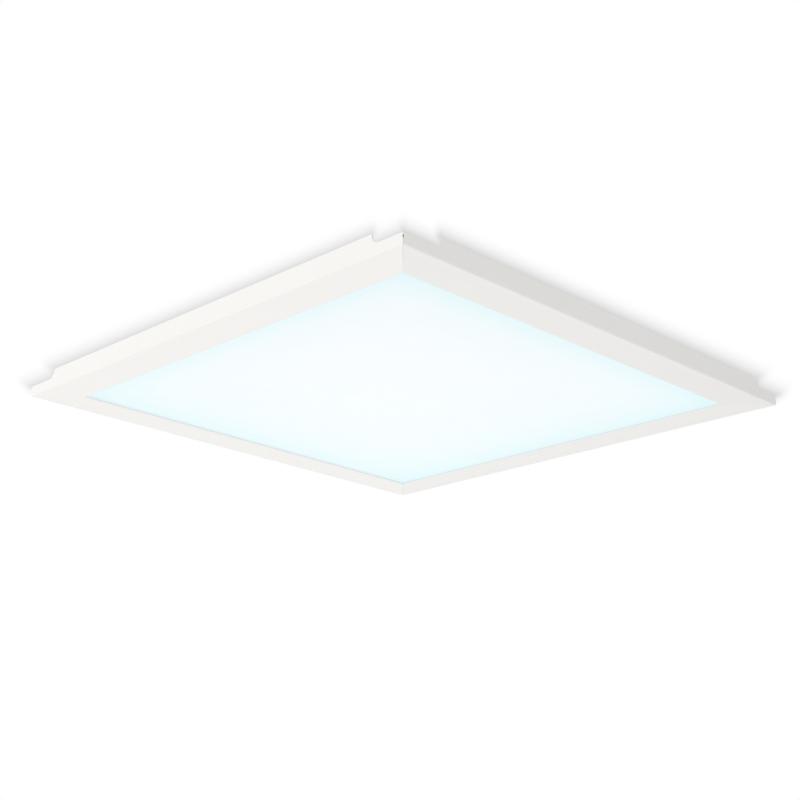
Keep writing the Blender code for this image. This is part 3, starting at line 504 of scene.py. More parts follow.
def far_from_side(tree, axis, sign, reach):
    """Falls from 1 at one side of the light opening to 0 well inside it."""
    along = parts_of(tree, place_of(tree))[axis]
    distance = maths(tree, "SUBTRACT", OPENING, maths(tree, "MULTIPLY", along, sign))
    distance = maths(tree, "MAXIMUM", distance, 0.0)
    return maths(tree, "EXPONENT", maths(tree, "MULTIPLY", distance, -1.0 / reach))


def opal(name):
    """Lit opal sheet: cool white, turning cyan over the last few centimetres to each side."""
    material, tree = begun(name, specular=0.3)
    total = 0.0
    for axis, sign, share, reach in GLOW_SIDES:
        edge = maths(tree, "MULTIPLY", far_from_side(tree, axis, sign, reach), share)
        total = maths(tree, "ADD", total, maths(tree, "MULTIPLY", edge, edge))
    tint = maths(tree, "SQRT", total)
    tint = maths(tree, "ADD", tint, drifting(tree, -0.001, 0.001, 30))
    channels = []
    for level, loss in zip(GLOW, GLOW_LOSS):
        kept = maths(tree, "SUBTRACT", 1.0, maths(tree, "MULTIPLY", tint, loss))
        channels.append(maths(tree, "MULTIPLY", level, kept))
    light = node(tree, "ShaderNodeCombineColor", dict(enumerate(channels))).outputs[0]
    base = mottled(tree, (0.12, 0.125, 0.13), 0.01, 20)
    rough = drifting(tree, 0.44, 0.48, 40, 3.0)
    frost = noise(tree, 3500, 2.0, 0.6)
    return dressed(material, base, rough, [(frost, 0.000003)], light)


def guide_acrylic(name):
    """Clear acrylic with the fine grid of extraction dots printed on it."""
    material, tree = begun(name, specular=0.6)
    dots = spread(tree, cells(tree, 700), 0.20, 0.28, 1.0, 0.0)
    base = blended(tree, dots, (0.80, 0.86, 0.86), (0.95, 0.96, 0.96))
    rough = spread(tree, dots, 0.0, 1.0, 0.06, 0.45)
    return dressed(material, base, rough, [(dots, 0.00001)])


def reflector(name):
    """White reflector film: satin, with faint waves where it lies loose."""
    material, tree = begun(name, specular=0.5)
    base = mottled(tree, (0.94, 0.94, 0.93), 0.01, 12)
    rough = drifting(tree, 0.18, 0.30, 25)
    return dressed(material, base, rough, [(noise(tree, 22, 2.0), 0.0002)])


def foam_sheet(name):
    """Closed-cell foam: tiny cells and a dull skin."""
    material, tree = begun(name, specular=0.2)
    cell = cells(tree, 1400)
    base = blended(tree, cell, (0.78, 0.78, 0.76), (0.90, 0.90, 0.88))
    rough = spread(tree, cell, 0.0, 0.6, 0.88, 0.97)
    return dressed(material, base, rough, [(cell, 0.0001)])


def light_board(name):
    """White solder mask with copper shades, and yellow phosphor in the packages' windows."""
    material, tree = begun(name, specular=0.5)
    along, across, up = parts_of(tree, place_of(tree))
    phosphor = spread(tree, across, STRIP_HIGH.y - 0.0005, STRIP_HIGH.y - 0.0004)
    from_package = maths(tree, "PINGPONG", along, LED_PITCH / 2)
    for value, centre, size in zip((from_package, up), (LED_PITCH / 2, LED_LEVEL), LED_WINDOW):
        inside = band(tree, value, centre, size / 2, 0.00005)
        phosphor = maths(tree, "MULTIPLY", phosphor, inside)
    tracks = spread(tree, cells(tree, 240, "Distance", (0.35, 0.35, 1.0)), 0.45, 0.55)
    base = tinged(tree, (0.90, 0.90, 0.86), tracks, 0.3, (0.80, 0.82, 0.76))
    base = blended(tree, phosphor, base, (0.88, 0.74, 0.16))
    rough = drifting(tree, 0.32, 0.48, 500)
    return dressed(material, base, rough, [(tracks, 0.00003)])


def drawn_copper(name):
    """Bare copper wire: drawing lines and patches of tarnish."""
    material, tree = begun(name, metallic=1.0)
    tarnish = spread(tree, noise(tree, 700, 4.0, 0.6), 0.4, 0.7)
    base = blended(tree, tarnish, (0.82, 0.46, 0.30), (0.50, 0.26, 0.17))
    rough = spread(tree, tarnish, 0.0, 1.0, 0.24, 0.50)
    return dressed(material, base, rough, [(noise(tree, 4000), 0.00001)])


def moulded(name, colour, grain=0.000012, rough_low=0.42, rough_high=0.56, specular=0.45):
    """Moulded plastic: spark-eroded grain, faint flow clouds and a little dust."""
    material, tree = begun(name, specular=specular)
    base = mottled(tree, colour, 0.025, 45)
    dust = spread(tree, noise(tree, 160, 5.0, 0.7), 0.60, 0.80)
    base = tinged(tree, base, dust, 0.12, (0.55, 0.54, 0.52))
    rough = drifting(tree, rough_low, rough_high, 120, 4.0)
    skin = noise(tree, 2600, 3.0, 0.65)
    return dressed(material, base, rough, [(skin, grain), (noise(tree, 90, 1.0), 0.00003)])


TRACK_GRIDS = ((9.0, 3.1), (4.3, 7.7), (15.0, 1.9))   # length and spacing of the tracks, in mm
TRACK_WIDTH = 0.12                       # in mm


def circuit_board(name):
    """Green solder mask over tracks that run square to the board, with bright pads."""
    material, tree = begun(name, specular=0.5)
    track = 0.0
    for length, pitch in TRACK_GRIDS:
        inputs = {"Vector": place_of(tree), "Scale": 1000.0, "Mortar Size": TRACK_WIDTH,
                  "Brick Width": length, "Row Height": pitch}
        grid = node(tree, "ShaderNodeTexBrick", inputs, offset=0.37, offset_frequency=3, squash=0.6,
                    squash_frequency=2)
        track = maths(tree, "MAXIMUM", track, grid.outputs["Fac"])
    pad = spread(tree, cells(tree, 330), 0.16, 0.20, 1.0, 0.0)
    base = blended(tree, track, (0.03, 0.22, 0.09), (0.07, 0.36, 0.15))
    base = blended(tree, pad, base, (0.72, 0.72, 0.68))
    rough = drifting(tree, 0.28, 0.42, 400)
    return dressed(material, base, rough, [(track, 0.00004), (pad, 0.00005)])


TAPE_HALF = 0.0080                       # of the tape's width between the two core halves
STRIPE_HALF = 0.0007                     # of the stripe down the capacitor
STRIPE_INSET = 0.0008


def ferrite_core(name):
    """Sintered ferrite: dark, matt and finely speckled, with a wrap of amber tape."""
    material, tree = begun(name, specular=0.35)
    speck = noise(tree, 2200, 3.0, 0.7)
    base = blended(tree, spread(tree, speck, 0.4, 0.7), (0.045, 0.045, 0.05), (0.13, 0.13, 0.14))
    low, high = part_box("driver_transformer")
    tape = band(tree, parts_of(tree, place_of(tree))[0], (low.x + high.x) / 2, TAPE_HALF, 0.0002)
    base = blended(tree, tape, base, (0.78, 0.52, 0.10))
    rough = spread(tree, tape, 0.0, 1.0, 0.60, 0.28)
    return dressed(material, base, rough, [(tape, 0.00008), (speck, 0.00002)])


def shrink_sleeve(name):
    """Capacitor sleeve: dark shiny film with one pale stripe, wrinkled at the ends."""
    material, tree = begun(name, specular=0.5)
    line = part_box("driver_capacitor")[1].y - STRIPE_INSET
    stripe = band(tree, parts_of(tree, place_of(tree))[1], line, STRIPE_HALF, 0.0002)
    base = blended(tree, stripe, (0.05, 0.09, 0.24), (0.70, 0.72, 0.74))
    rough = drifting(tree, 0.20, 0.36, 300, 3.0)
    return dressed(material, base, rough, [(noise(tree, 600, 3.0), 0.00004)])


def lead_sheath(name):
    """White PVC sheath: matt, faintly ribbed by the strands inside, scuffed in places."""
    material, tree = begun(name, specular=0.4)
    base = mottled(tree, (0.86, 0.86, 0.84), 0.03, 60)
    scuff = spread(tree, noise(tree, 220, 5.0, 0.7), 0.60, 0.80)
    base = tinged(tree, base, scuff, 0.35, (0.62, 0.61, 0.58))
    rough = spread(tree, scuff, 0.0, 1.0, 0.42, 0.62)
    return dressed(material, base, rough, [(noise(tree, 1500, 2.0), 0.00002)])


def rubber(name):
    """Black rubber: dull, pored and dusty."""
    material, tree = begun(name, specular=0.3)
    dust = spread(tree, noise(tree, 500, 5.0, 0.7), 0.50, 0.80)
    base = tinged(tree, (0.030, 0.030, 0.032), dust, 0.5, (0.12, 0.12, 0.115))
    rough = spread(tree, dust, 0.0, 1.0, 0.62, 0.85)
    return dressed(material, base, rough, [(noise(tree, 2400, 3.0), 0.00003)])


FRAME_WHITE = (0.835, 0.825, 0.803)
# each rail's copy of the frame white made lighter or darker: painted shade for how the light falls on that
# side
RAIL_PAINTED_SHADE = {"south": 1.022, "east": 0.956, "north": 0.980, "west": 1.008}

MATERIALS = {
    "frame_paint": powder_coat("white_powder_coat", FRAME_WHITE),
    "cover_paint": coil_coat("white_coil_coat", (0.78, 0.78, 0.77)),
    "zinc_steel": zinc("zinc_plate"),
    "galvanised_steel": galvanised("galvanised_sheet"),
    "opal_diffuser": opal("opal_sheet"),
    "clear_acrylic": guide_acrylic("guide_acrylic"),
    "reflector_film": reflector("reflector_film"),
    "foam": foam_sheet("foam_sheet"),
    "led_board": light_board("light_board"),
    "copper": drawn_copper("drawn_copper"),
    "driver_plastic": moulded("driver_case", (0.86, 0.86, 0.84)),
    "circuit_board": circuit_board("circuit_board"),
    "ferrite": ferrite_core("ferrite_core"),
    "capacitor_sleeve": shrink_sleeve("shrink_sleeve"),
    "switch_black": moulded("switch_black", (0.035, 0.035, 0.037), 0.000008, 0.32, 0.46),
    "block_grey": moulded("block_grey", (0.52, 0.53, 0.54), 0.000010, 0.36, 0.50),
    "lever_orange": moulded("lever_orange", (0.86, 0.27, 0.035), 0.000006, 0.28, 0.40, 0.5),
    "lead_sheath": lead_sheath("lead_sheath"),
    "rubber": rubber("black_rubber"),
    "catch_nylon": moulded("natural_nylon", (0.80, 0.79, 0.74), 0.000014, 0.38, 0.52, 0.5),
}
SLOTS = {part["node"]: part["material_slot"] for part in frame["record"]["subparts"]}
for name, obj in frame["nodes"].items():
    obj.data.materials.clear()
    obj.data.materials.append(MATERIALS[SLOTS[name]])


# ---------------------------------------------------------------- frame
def rail_section():
    """Section of the extrusion: distance in from the outer face, and height."""
    bezel_top = BOTTOM + WALL
    ledge_top = COVER_LOW.z - GAP
    ledge_bottom = ledge_top - LEDGE_THICKNESS
    rib_inner = RIB_OUTER + WALL
    lip = BEZEL_WIDTH - LIP_RADIUS
    points = arc(OUTER_RADIUS, BOTTOM + OUTER_RADIUS, OUTER_RADIUS, 180, 270, 8)
    points += arc(lip, BOTTOM + LIP_RADIUS, LIP_RADIUS, 270, 360, 5)
    points += arc(lip, bezel_top - LIP_RADIUS, LIP_RADIUS, 0, 90, 5)
    points += [(rib_inner, bezel_top), (rib_inner, ledge_top), (RIB_OUTER, ledge_top),
               (RIB_OUTER, bezel_top), (WALL, bezel_top), (WALL, ledge_bottom),
               (LEDGE_DEPTH, ledge_bottom), (LEDGE_DEPTH, ledge_top), (WALL, ledge_top)]
    points += arc(WALL - SKIRT_ROUND, CEILING - SKIRT_ROUND, SKIRT_ROUND, 0, 90, 3)
    points += arc(SKIRT_ROUND, CEILING - SKIRT_ROUND, SKIRT_ROUND, 90, 180, 3)
    return points


def notch_tool(hand, reach):
    """Solid that cuts the skirt from one corner, rounded at its foot and at its top."""
    end = HALF + OVERRUN
    foot = HALF - reach
    top = CEILING + OVERRUN
    outline = [(end, NOTCH_FLOOR), (end, top), (foot - NOTCH_ROUND, top)]
    outline += arc(foot - NOTCH_ROUND, CEILING - NOTCH_ROUND, NOTCH_ROUND, 90, 0, 5)
    outline += arc(foot + NOTCH_FILLET, NOTCH_FLOOR + NOTCH_FILLET, NOTCH_FILLET, 180, 270, 10)
    outline = [(hand * x, z) for x, z in outline]
    return prism("notch_tool", [outline], -HALF - OVERRUN, WALL + OVERRUN - HALF, ALONG_Y)


def rail_mesh():
    """South rail: mitred, notched, with open-topped mitres, drilled ledge and slotted rib."""
    rail = prism("frame_rail", [rail_section()], -HALF, HALF, ALONG_X)
    rail.data.transform(Matrix.Translation((0, -HALF, 0)))
    for vertex in rail.data.vertices:
        depth = vertex.co.y + HALF
        vertex.co.x = math.copysign(HALF - depth - MITRE_SETBACK, vertex.co.x)
    cutters = [notch_tool(-1, NOTCH_LEFT), notch_tool(1, NOTCH_RIGHT)]
    edge, deep = OVERRUN, WALL + OVERRUN
    relief = [(HALF + edge, -HALF - edge), (HALF + edge - MITRE_RELIEF, -HALF - edge),
              (HALF - deep - MITRE_RELIEF, deep - HALF), (HALF + edge, deep - HALF)]
    for hand in (-1, 1):
        cutters.append(prism("relief", [[(hand * x, y) for x, y in relief]],
                             NOTCH_FLOOR - MITRE_RELIEF_DEPTH, NOTCH_FLOOR + OVERRUN))
    ledge_top = COVER_LOW.z - GAP
    along, line = HALF - SCREW_FROM_CORNER, SCREW_DEPTH - HALF
    for x in (-along, 0.0, along):
        cutters.append(rod("screw_hole", SCREW_HOLE_RADIUS, ledge_top - LEDGE_THICKNESS - OVERRUN,
                           ledge_top + OVERRUN, (x, line)))
    rib = RIB_OUTER - HALF
    width, height, corner = LEAD_SLOT
    level = BOTTOM + WALL + LEAD_SLOT_BASE + height / 2
    outline = rounded(LEAD_SLOT_ALONG, level, width, height, corner, 4)
    cutters.append(prism("lead_slot", [outline], rib - OVERRUN, rib + WALL + OVERRUN, ALONG_Y))
    return carved(rail, cutters, RAIL_EDGE)


def make_frame():
    """Four mitred rails, each in a lighter or darker copy of one white: painted shade for how the light falls
    on each side.
    """
    first = rail_mesh()
    for side, degrees in SIDES.items():
        # painted shade: each side's copy of the white is shaded to how the light falls on it
        paint = powder_coat(f"white_powder_coat_{side}", shaded(FRAME_WHITE, RAIL_PAINTED_SHADE[side]))
        show(first.copy(), f"frame_rail_{side}", degrees=degrees, material=paint)


# ---------------------------------------------------------------- keys, sheets and light strips
KEY_ARM = 0.062
KEY_OUTER = WALL + GAP
KEY_INNER = RIB_OUTER - GAP
KEY_GROOVE = (0.0016, 0.022)             # groove pressed into each arm, across and along
KEY_GROOVE_DEPTH = 0.0004
KEY_GROOVE_LINE = 0.0175                 # in from the lamp's side
KEY_CHAMFER = 0.001
KEY_EDGE = 0.0002
SHEET_CORNER = 0.0012
SHEET_EDGES = {"diffuser": 0.0003, "light_guide": 0.0002, "reflector_sheet": 0.00006,
               "backing_foam": 0.0005}
LED_WIDTH = 0.004
LED_TALL = 0.0024
LED_RISE = 0.0008
LED_CORNER = 0.0003
LED_ROOT = 0.0004                        # packages and their solder reach this far into the board
LED_WINDOW_CORNER = 0.0004
LED_RECESS = 0.00022
LED_PAD = (0.0006, 0.0014, 0.00028)      # solder fillet at each end of a package
LED_EDGE = 0.00007
JUMPER_RADIUS = 0.00049
JUMPER_THIN = 0.82                       # the wire between its drops of solder, over the drops
JUMPER_SOLDERED = 3                      # points of the wire in each drop
JUMPER_DROP = 0.0010
JUMPER_BOW = 0.0008
JUMPER_STRAIGHT = 0.7                    # share of the way to the corner that it runs straight
JUMPER_STEP = 0.0004


def key_mesh():
    """L-shaped corner key with rounded arms, screw holes and a groove pressed along each arm."""
    outer, inner, end = HALF - KEY_OUTER, HALF - KEY_INNER, HALF - KEY_ARM
    cut = KEY_CHAMFER
    half_outline = [(-outer + 2 * cut, -outer), (-end - cut, -outer), (-end, -outer + cut),
                    (-end, -inner - cut), (-end - cut, -inner)]
    outline = half_outline + [(-inner, -inner)] + [(y, x) for x, y in reversed(half_outline)]
    along, line = HALF - SCREW_FROM_CORNER, HALF - SCREW_DEPTH
    holes = [circle(-along, -line, SCREW_HOLE_RADIUS), circle(-line, -along, SCREW_HOLE_RADIUS)]
    low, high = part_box("corner_key_sw")
    key = prism("corner_key", [outline] + holes, low.z, high.z)
    width, length = KEY_GROOVE
    line, middle = HALF - KEY_GROOVE_LINE, HALF - (KEY_INNER + KEY_ARM) / 2
    down, up = high.z - KEY_GROOVE_DEPTH, high.z + OVERRUN
    grooves = [prism("groove", [rounded(-line, -middle, width, length, width / 2.2)], down, up),
               prism("groove", [rounded(-middle, -line, length, width, width / 2.2)], down, up)]
    return carved(key, grooves, KEY_EDGE, 35.0)


def sheet_mesh(node_name, edge):
    """One sheet of the optical stack, with cut corners and eased edges."""
    low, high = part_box(node_name)
    side = high.x - low.x
    sheet = prism(node_name, [rounded(0, 0, side, side, SHEET_CORNER)], low.z, high.z)
    return mesh_of(softened(sheet, edge))


def strip_mesh():
    """South light strip: a board with its row of packages, each with a sunk window and soldered ends."""
    face, front = STRIP_HIGH.y, STRIP_HIGH.y - LED_RISE
    start, middle = STRIP_LOW.x + LED_PITCH / 2, LED_LEVEL
    board = box("led_strip", STRIP_LOW, (STRIP_HIGH.x, front, STRIP_HIGH.z))
    outline = rounded(start, middle, LED_WIDTH, LED_TALL, LED_CORNER, 3)
    package = prism("package", [outline], front - LED_ROOT, face, ALONG_Y)
    outline = rounded(start, middle, *LED_WINDOW, LED_WINDOW_CORNER, 3)
    window = prism("window", [outline], face - LED_RECESS, face + OVERRUN, ALONG_Y)
    package = combined(package, "DIFFERENCE", [window])
    pads = []
    wide, tall, rise = LED_PAD
    for side in (-1, 1):
        edge = start + side * LED_WIDTH / 2
        pads.append(box("pad", (edge - wide / 2, front - LED_ROOT, middle - tall / 2),
                        (edge + wide / 2, front + rise, middle + tall / 2)))
    package = combined(package, "UNION", pads)
    row = package.modifiers.new("Row", "ARRAY")
    row.count = LED_COUNT
    row.use_relative_offset = False
    row.use_constant_offset = True
    row.constant_offset_displace = (LED_PITCH, 0.0, 0.0)
    row = draft("row", baked(package, flatten=False))
    return mesh_of(softened(combined(board, "UNION", [row]), LED_EDGE, 1, 40.0))


def jumper_mesh():
    """Link between two strips: a wire bowed round the corner, with a drop of solder at each end."""
    line = STRIP_HIGH.y - LED_RISE - (STRIP_HIGH.y - LED_RISE - STRIP_LOW.y) / 2
    start = STRIP_HIGH.x + GAP
    bend = -line - JUMPER_BOW
    height = STRIP_HIGH.z - JUMPER_DROP
    straight = start + JUMPER_STRAIGHT * (bend - start)
    route = smooth_path([(start, line, height), (straight, line, height), (bend, -bend, height),
                         (-line, -straight, height), (-line, -start, height)], JUMPER_STEP)
    widths = [JUMPER_THIN] * len(route)
    widths[:JUMPER_SOLDERED] = widths[-JUMPER_SOLDERED:] = [1.0] * JUMPER_SOLDERED
    return tube("jumper", route, JUMPER_RADIUS, widths)


def make_inside():
    """Corner keys, the optical stack, and the light strips with their links."""
    key = key_mesh()
    for index, corner in enumerate(CORNERS):
        show(key, f"corner_key_{corner}", degrees=90.0 * index)
    for name, edge in SHEET_EDGES.items():
        show(sheet_mesh(name, edge), name)
    strip = strip_mesh()
    for side, degrees in SIDES.items():
        show(strip, f"led_strip_{side}", degrees=degrees)
    jumper = jumper_mesh()
    for index, corner in enumerate(("se", "ne", "nw")):
        show(jumper, f"led_jumper_{corner}", degrees=90.0 * index)


# ---------------------------------------------------------------- back cover and screws
COVER_SIDE = COVER_HIGH.x - COVER_LOW.x
COVER_THICKNESS = COVER_HIGH.z - COVER_LOW.z
GROOVE_INSETS = (0.028, 0.066)           # two pressed grooves run round the cover
GROOVE_WIDTH = 0.008
GROOVE_DEPTH = 0.0004
GROOVE_STEPS = 8
GROOVE_CORNERS = (0.022, 0.016)          # radius of the corners at its outer and inner side
COVER_RIM = 0.004
COVER_CORNERS = (0.002, 0.004)           # radius of the corners at the edge and inside its rim
COVER_FIELD = 0.03                       # from the inner groove to the flat middle
SCREW_RADIUS = 0.0015
SCREW_HEAD_RADIUS = 0.0028
SCREW_HEAD_HEIGHT = 0.0018
THREAD_PITCH = 0.0005
THREAD_DEPTH = 0.00022
THREAD_START = 0.0006                    # below the head
THREAD_END = 0.0010                      # above the tip
FRAME_SCREW_LENGTH = 0.0070
RECESS = (0.0015, 0.0004, 0.0011, 0.00046)   # reach, half width and depth of the cross, and its waist
RECESS_TAPER = 0.55


def cover_steps():
    """Distance in from the cover's edge, height and corner radius of each ring of its sheet."""
    steps = [(0.0, 0.0, COVER_CORNERS[0]), (COVER_RIM, 0.0, COVER_CORNERS[1])]
    outer, inner = GROOVE_CORNERS
    for inset in GROOVE_INSETS:
        for i in range(GROOVE_STEPS + 1):
            across = i / GROOVE_STEPS
            dip = (0.5 - 0.5 * math.cos(2 * math.pi * across)) ** 0.6
            radius = outer - (outer - inner) * across
            steps.append((inset + GROOVE_WIDTH * across, -GROOVE_DEPTH * dip, radius))
    steps.append((GROOVE_INSETS[1] + COVER_FIELD, 0.0, inner))
    return steps


def cover_mesh():
    """Pressed sheet made of square rings, thickened downwards."""
    shape = bmesh.new()
    rings = []
    for inset, height, radius in cover_steps():
        side = COVER_SIDE - 2 * inset
        outline = rounded(0, 0, side, side, radius, 8)
        rings.append([shape.verts.new((x, y, COVER_HIGH.z + height)) for x, y in outline])
    for outer, inner in zip(rings, rings[1:]):
        for i, corner in enumerate(outer):
            j = (i + 1) % len(outer)
            shape.faces.new((corner, outer[j], inner[j], inner[i]))
    shape.faces.new(rings[-1])
    mesh = bpy.data.meshes.new("back_cover_sheet")
    shape.to_mesh(mesh)
    shape.free()
    sheet = draft("back_cover_sheet", mesh)
    thick = sheet.modifiers.new("Thickness", "SOLIDIFY")
    thick.thickness = COVER_THICKNESS
    thick.offset = -1.0
    return baked(sheet, flatten=False)


def cross_recess(top):
    """Tapered cross driven into a screw head."""
    arm, half, depth, inner = RECESS
    outline = [(arm, -half), (arm, half), (inner, inner), (half, arm), (-half, arm), (-inner, inner),
               (-arm, half), (-arm, -half), (-inner, -inner), (-half, -arm), (half, -arm), (inner, -inner)]
    recess = prism("recess", [outline], top - depth, top + OVERRUN)
    for vertex in recess.data.vertices:
        if vertex.co.z < top:
            vertex.co.x *= RECESS_TAPER
            vertex.co.y *= RECESS_TAPER
    return recess


def screw_mesh(length):
    """Pan-head screw with a rolled thread, the underside of its head at height zero."""
    head, high = SCREW_HEAD_RADIUS, SCREW_HEAD_HEIGHT
    profile = [(0.0, high)]
    for i in range(1, 8):
        turn = math.radians(90 * i / 7)
        profile.append((head * math.sin(turn) ** 0.8, high * (0.30 + 0.70 * math.cos(turn) ** 0.7)))
    profile += [(head, 0.0002), (head - 0.0002, 0.0), (SCREW_RADIUS, 0.0), (SCREW_RADIUS, -THREAD_START)]
    turns = int((length - THREAD_START - THREAD_END) / THREAD_PITCH)
    for i in range(turns):
        level = -THREAD_START - i * THREAD_PITCH
        profile += [(SCREW_RADIUS - THREAD_DEPTH, level - THREAD_PITCH / 2),
                    (SCREW_RADIUS, level - THREAD_PITCH)]
    profile += [(SCREW_RADIUS / 2, -length), (0.0, -length)]
    return mesh_of(combined(turned("screw", profile, steps=32), "DIFFERENCE", [cross_recess(high)]))


def make_screws():
    """Screws of the cover and of the driver, each left at its own angle."""
    mesh = screw_mesh(FRAME_SCREW_LENGTH)
    along = HALF - SCREW_FROM_CORNER
    for side, degrees in SIDES.items():
        turn = Matrix.Rotation(math.radians(degrees), 3, "Z")
        for index, (spot, x) in enumerate((("left", -along), ("middle", 0.0), ("right", along))):
            place = turn @ Vector((x, SCREW_DEPTH - HALF, ON_COVER))
            show(mesh, f"frame_screw_{side}_{spot}", degrees=degrees * 0.7 + 31 * index, place=place)
    low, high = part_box("driver_screw_east")
    mesh = screw_mesh(high.z - SCREW_HEAD_HEIGHT - low.z)
    for end, degrees in (("west", 20), ("east", 67)):
        low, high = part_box(f"driver_screw_{end}")
        place = ((low.x + high.x) / 2, (low.y + high.y) / 2, high.z - SCREW_HEAD_HEIGHT)
        show(mesh, f"driver_screw_{end}", degrees=degrees, place=place)


# ---------------------------------------------------------------- driver
DRIVER_Y = (DRIVER_LOW.y + DRIVER_HIGH.y) / 2
DRIVER_WIDTH = LID_HIGH.y - LID_LOW.y
DRIVER_LENGTH = LID_HIGH.x - LID_LOW.x
DRIVER_WALL = 0.0012
DRIVER_CORNER = 0.003
DRIVER_EAR_HALF = 0.007
DRIVER_SCREW_X = 0.1105
LEAD_HOLE_RADIUS = 0.0018
LEAD_HOLE_Z = -0.0065
SUPPLY_HOLE_Y = 0.093
PANEL_HOLE_Y = 0.060
SWITCH_TRAVEL = 0.004
SIDE_VENT = (0.0016, 0.0030)             # width and height of the slots in the long walls
LID_VENT = (0.0016, 0.015)
LABEL_FIELD = (0.058, 0.030, 0.002)      # blank sunk field on the lid, and its corner radius
LABEL_DEPTH = 0.0002
LIP_THICKNESS = 0.001
LIP_ROOT = 0.0004                        # how far the lid's lip reaches into the lid
BOARD_MARGIN = 0.0018
BOARD_THICKNESS = 0.0012
BOARD_OPENING_GAP = 0.0005
BOARD_HOLE = (0.098, 0.019, 0.0012)      # along and across from its middle, and radius
CORE_HALF_GAP = 0.0082                   # half the winding's length that shows
CORE_EDGE = 0.0006
WINDING_MARGIN = (0.0012, 0.0003)        # narrower and lower than the core by this much
WINDING_CORNER = 0.0018
WINDING_ROOT = 0.004                     # how far the winding's ends lie inside the core
CAN_GROOVE = 0.0003
CAN_END_SUNK = (0.00015, 0.0002)
CHIP_SIZE = (0.0016, 0.0008, 0.00045)
CHIP_COUNT = 14                          # small parts in each of two rows
CHIP_PITCH = 0.0125
CHIP_LINE = 0.019                        # from the driver's line to each row
LEG_REACH = 0.0012                       # legs stand this far out of a part's body
LEG_LIFT = 0.00015
LEG_KNEE = 0.45                          # height of the bend, as a share of the body's
LEG_THICKNESS = 0.0002
LEG_HALF = 0.00025
BODY_CORNER = 0.0005
BODY_EDGE = 0.0003
CHIP_LIFT = 0.00001
CHIP_EDGE = 0.00006
BOARD_EDGE = 0.00008
BOARD_PARTS = (                          # x, offset across, length, breadth, rise, legs a side
    (0.080, 0.0, 0.014, 0.007, 0.0033, 3), (0.044, 0.012, 0.010, 0.008, 0.0026, 7),
    (0.044, -0.012, 0.009, 0.009, 0.0030, 2), (-0.080, 0.010, 0.012, 0.006, 0.0030, 2),
    (-0.026, -0.014, 0.008, 0.006, 0.0022, 4))
SWITCH_X = (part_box("tone_switch")[0].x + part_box("tone_switch")[1].x) / 2
SWITCH_MIDDLE = SWITCH_X + SWITCH_TRAVEL / 2
SWITCH_WINDOW = (0.0036 + SWITCH_TRAVEL, 0.0030, 0.0003)   # length, breadth and corner radius
SWITCH_FIELD = (0.0145, 0.0085, 0.0012)
SWITCH_FIELD_DEPTH = 0.0004
KNOB_HALF = (0.0015, 0.0012)             # along the driver and across it
KNOB_RIDGES = (-0.0010, 0.0, 0.0010)
LID_UNDERSIDE = LID_LOW.z + DRIVER_WALL
BASE_EDGE = 0.00018
LID_EDGE = 0.00022
SWITCH_EDGE = 0.0001
VENT_BANKS = (-0.064, 0.052)
VENTS_IN_BANK = 7
LID_VENT_PITCH = 0.0036
SIDE_VENT_PITCH = 0.0065
SIDE_VENTS = 13
GUSSET = (0.0050, 0.0036)                # length along the ear, and height
GUSSET_ROOT = (0.0005, 0.0003)           # how far it reaches into the wall and the floor
GUSSET_HALF = 0.0005


def driver_outline(margin):
    """The driver's plan, brought in by a margin."""
    radius = max(DRIVER_CORNER - margin, DRIVER_CORNER / 3)
    return rounded(0, DRIVER_Y, DRIVER_LENGTH - 2 * margin, DRIVER_WIDTH - 2 * margin, radius, 8)


def driver_base_mesh():
    """Open tray with screw ears on gussets, slots in its long walls and a hole for each lead."""
    floor = ON_COVER + DRIVER_WALL
    base = prism("driver_base", [driver_outline(0)], ON_COVER, DRIVER_HIGH.z)
    ear_length = DRIVER_HIGH.x - DRIVER_LOW.x
    ears = prism("ears", [rounded(0, DRIVER_Y, ear_length, 2 * DRIVER_EAR_HALF, 0.005, 8)],
                 ON_COVER, floor)
    added = [ears]
    wall = DRIVER_LENGTH / 2
    root, foot = wall - GUSSET_ROOT[0], floor - GUSSET_ROOT[1]
    for sx in (-1, 1):
        for sy in (-1, 1):
            y = DRIVER_Y + sy * (DRIVER_EAR_HALF - 2 * GUSSET_HALF)
            gusset = [(sx * root, foot), (sx * (root + GUSSET[0]), foot), (sx * root, floor + GUSSET[1])]
            added.append(prism("gusset", [gusset], y - GUSSET_HALF, y + GUSSET_HALF, ALONG_Y))
    base = combined(base, "UNION", added)
    cutters = [prism("hollow", [driver_outline(DRIVER_WALL)], floor, CEILING),
               rod("supply_hole", LEAD_HOLE_RADIUS, wall - 0.003, wall + OVERRUN,
                   (SUPPLY_HOLE_Y, LEAD_HOLE_Z), ALONG_X, 24),
               rod("panel_hole", LEAD_HOLE_RADIUS, -wall - OVERRUN, 0.003 - wall,
                   (PANEL_HOLE_Y, LEAD_HOLE_Z), ALONG_X, 24)]
    for sx in (-1, 1):
        cutters.append(rod("ear_hole", SCREW_HOLE_RADIUS, ON_COVER - OVERRUN, floor + OVERRUN,
                           (sx * DRIVER_SCREW_X, DRIVER_Y), sides=24))
    width, height = SIDE_VENT
    middle = (floor + DRIVER_HIGH.z) / 2
    for index in range(SIDE_VENTS):
        vent = slot((index - SIDE_VENTS // 2) * SIDE_VENT_PITCH, middle, width, height, 5)
        cutters.append(prism("vent", [vent], DRIVER_LOW.y - OVERRUN, DRIVER_HIGH.y + OVERRUN, ALONG_Y))
    return carved(base, cutters, BASE_EDGE)


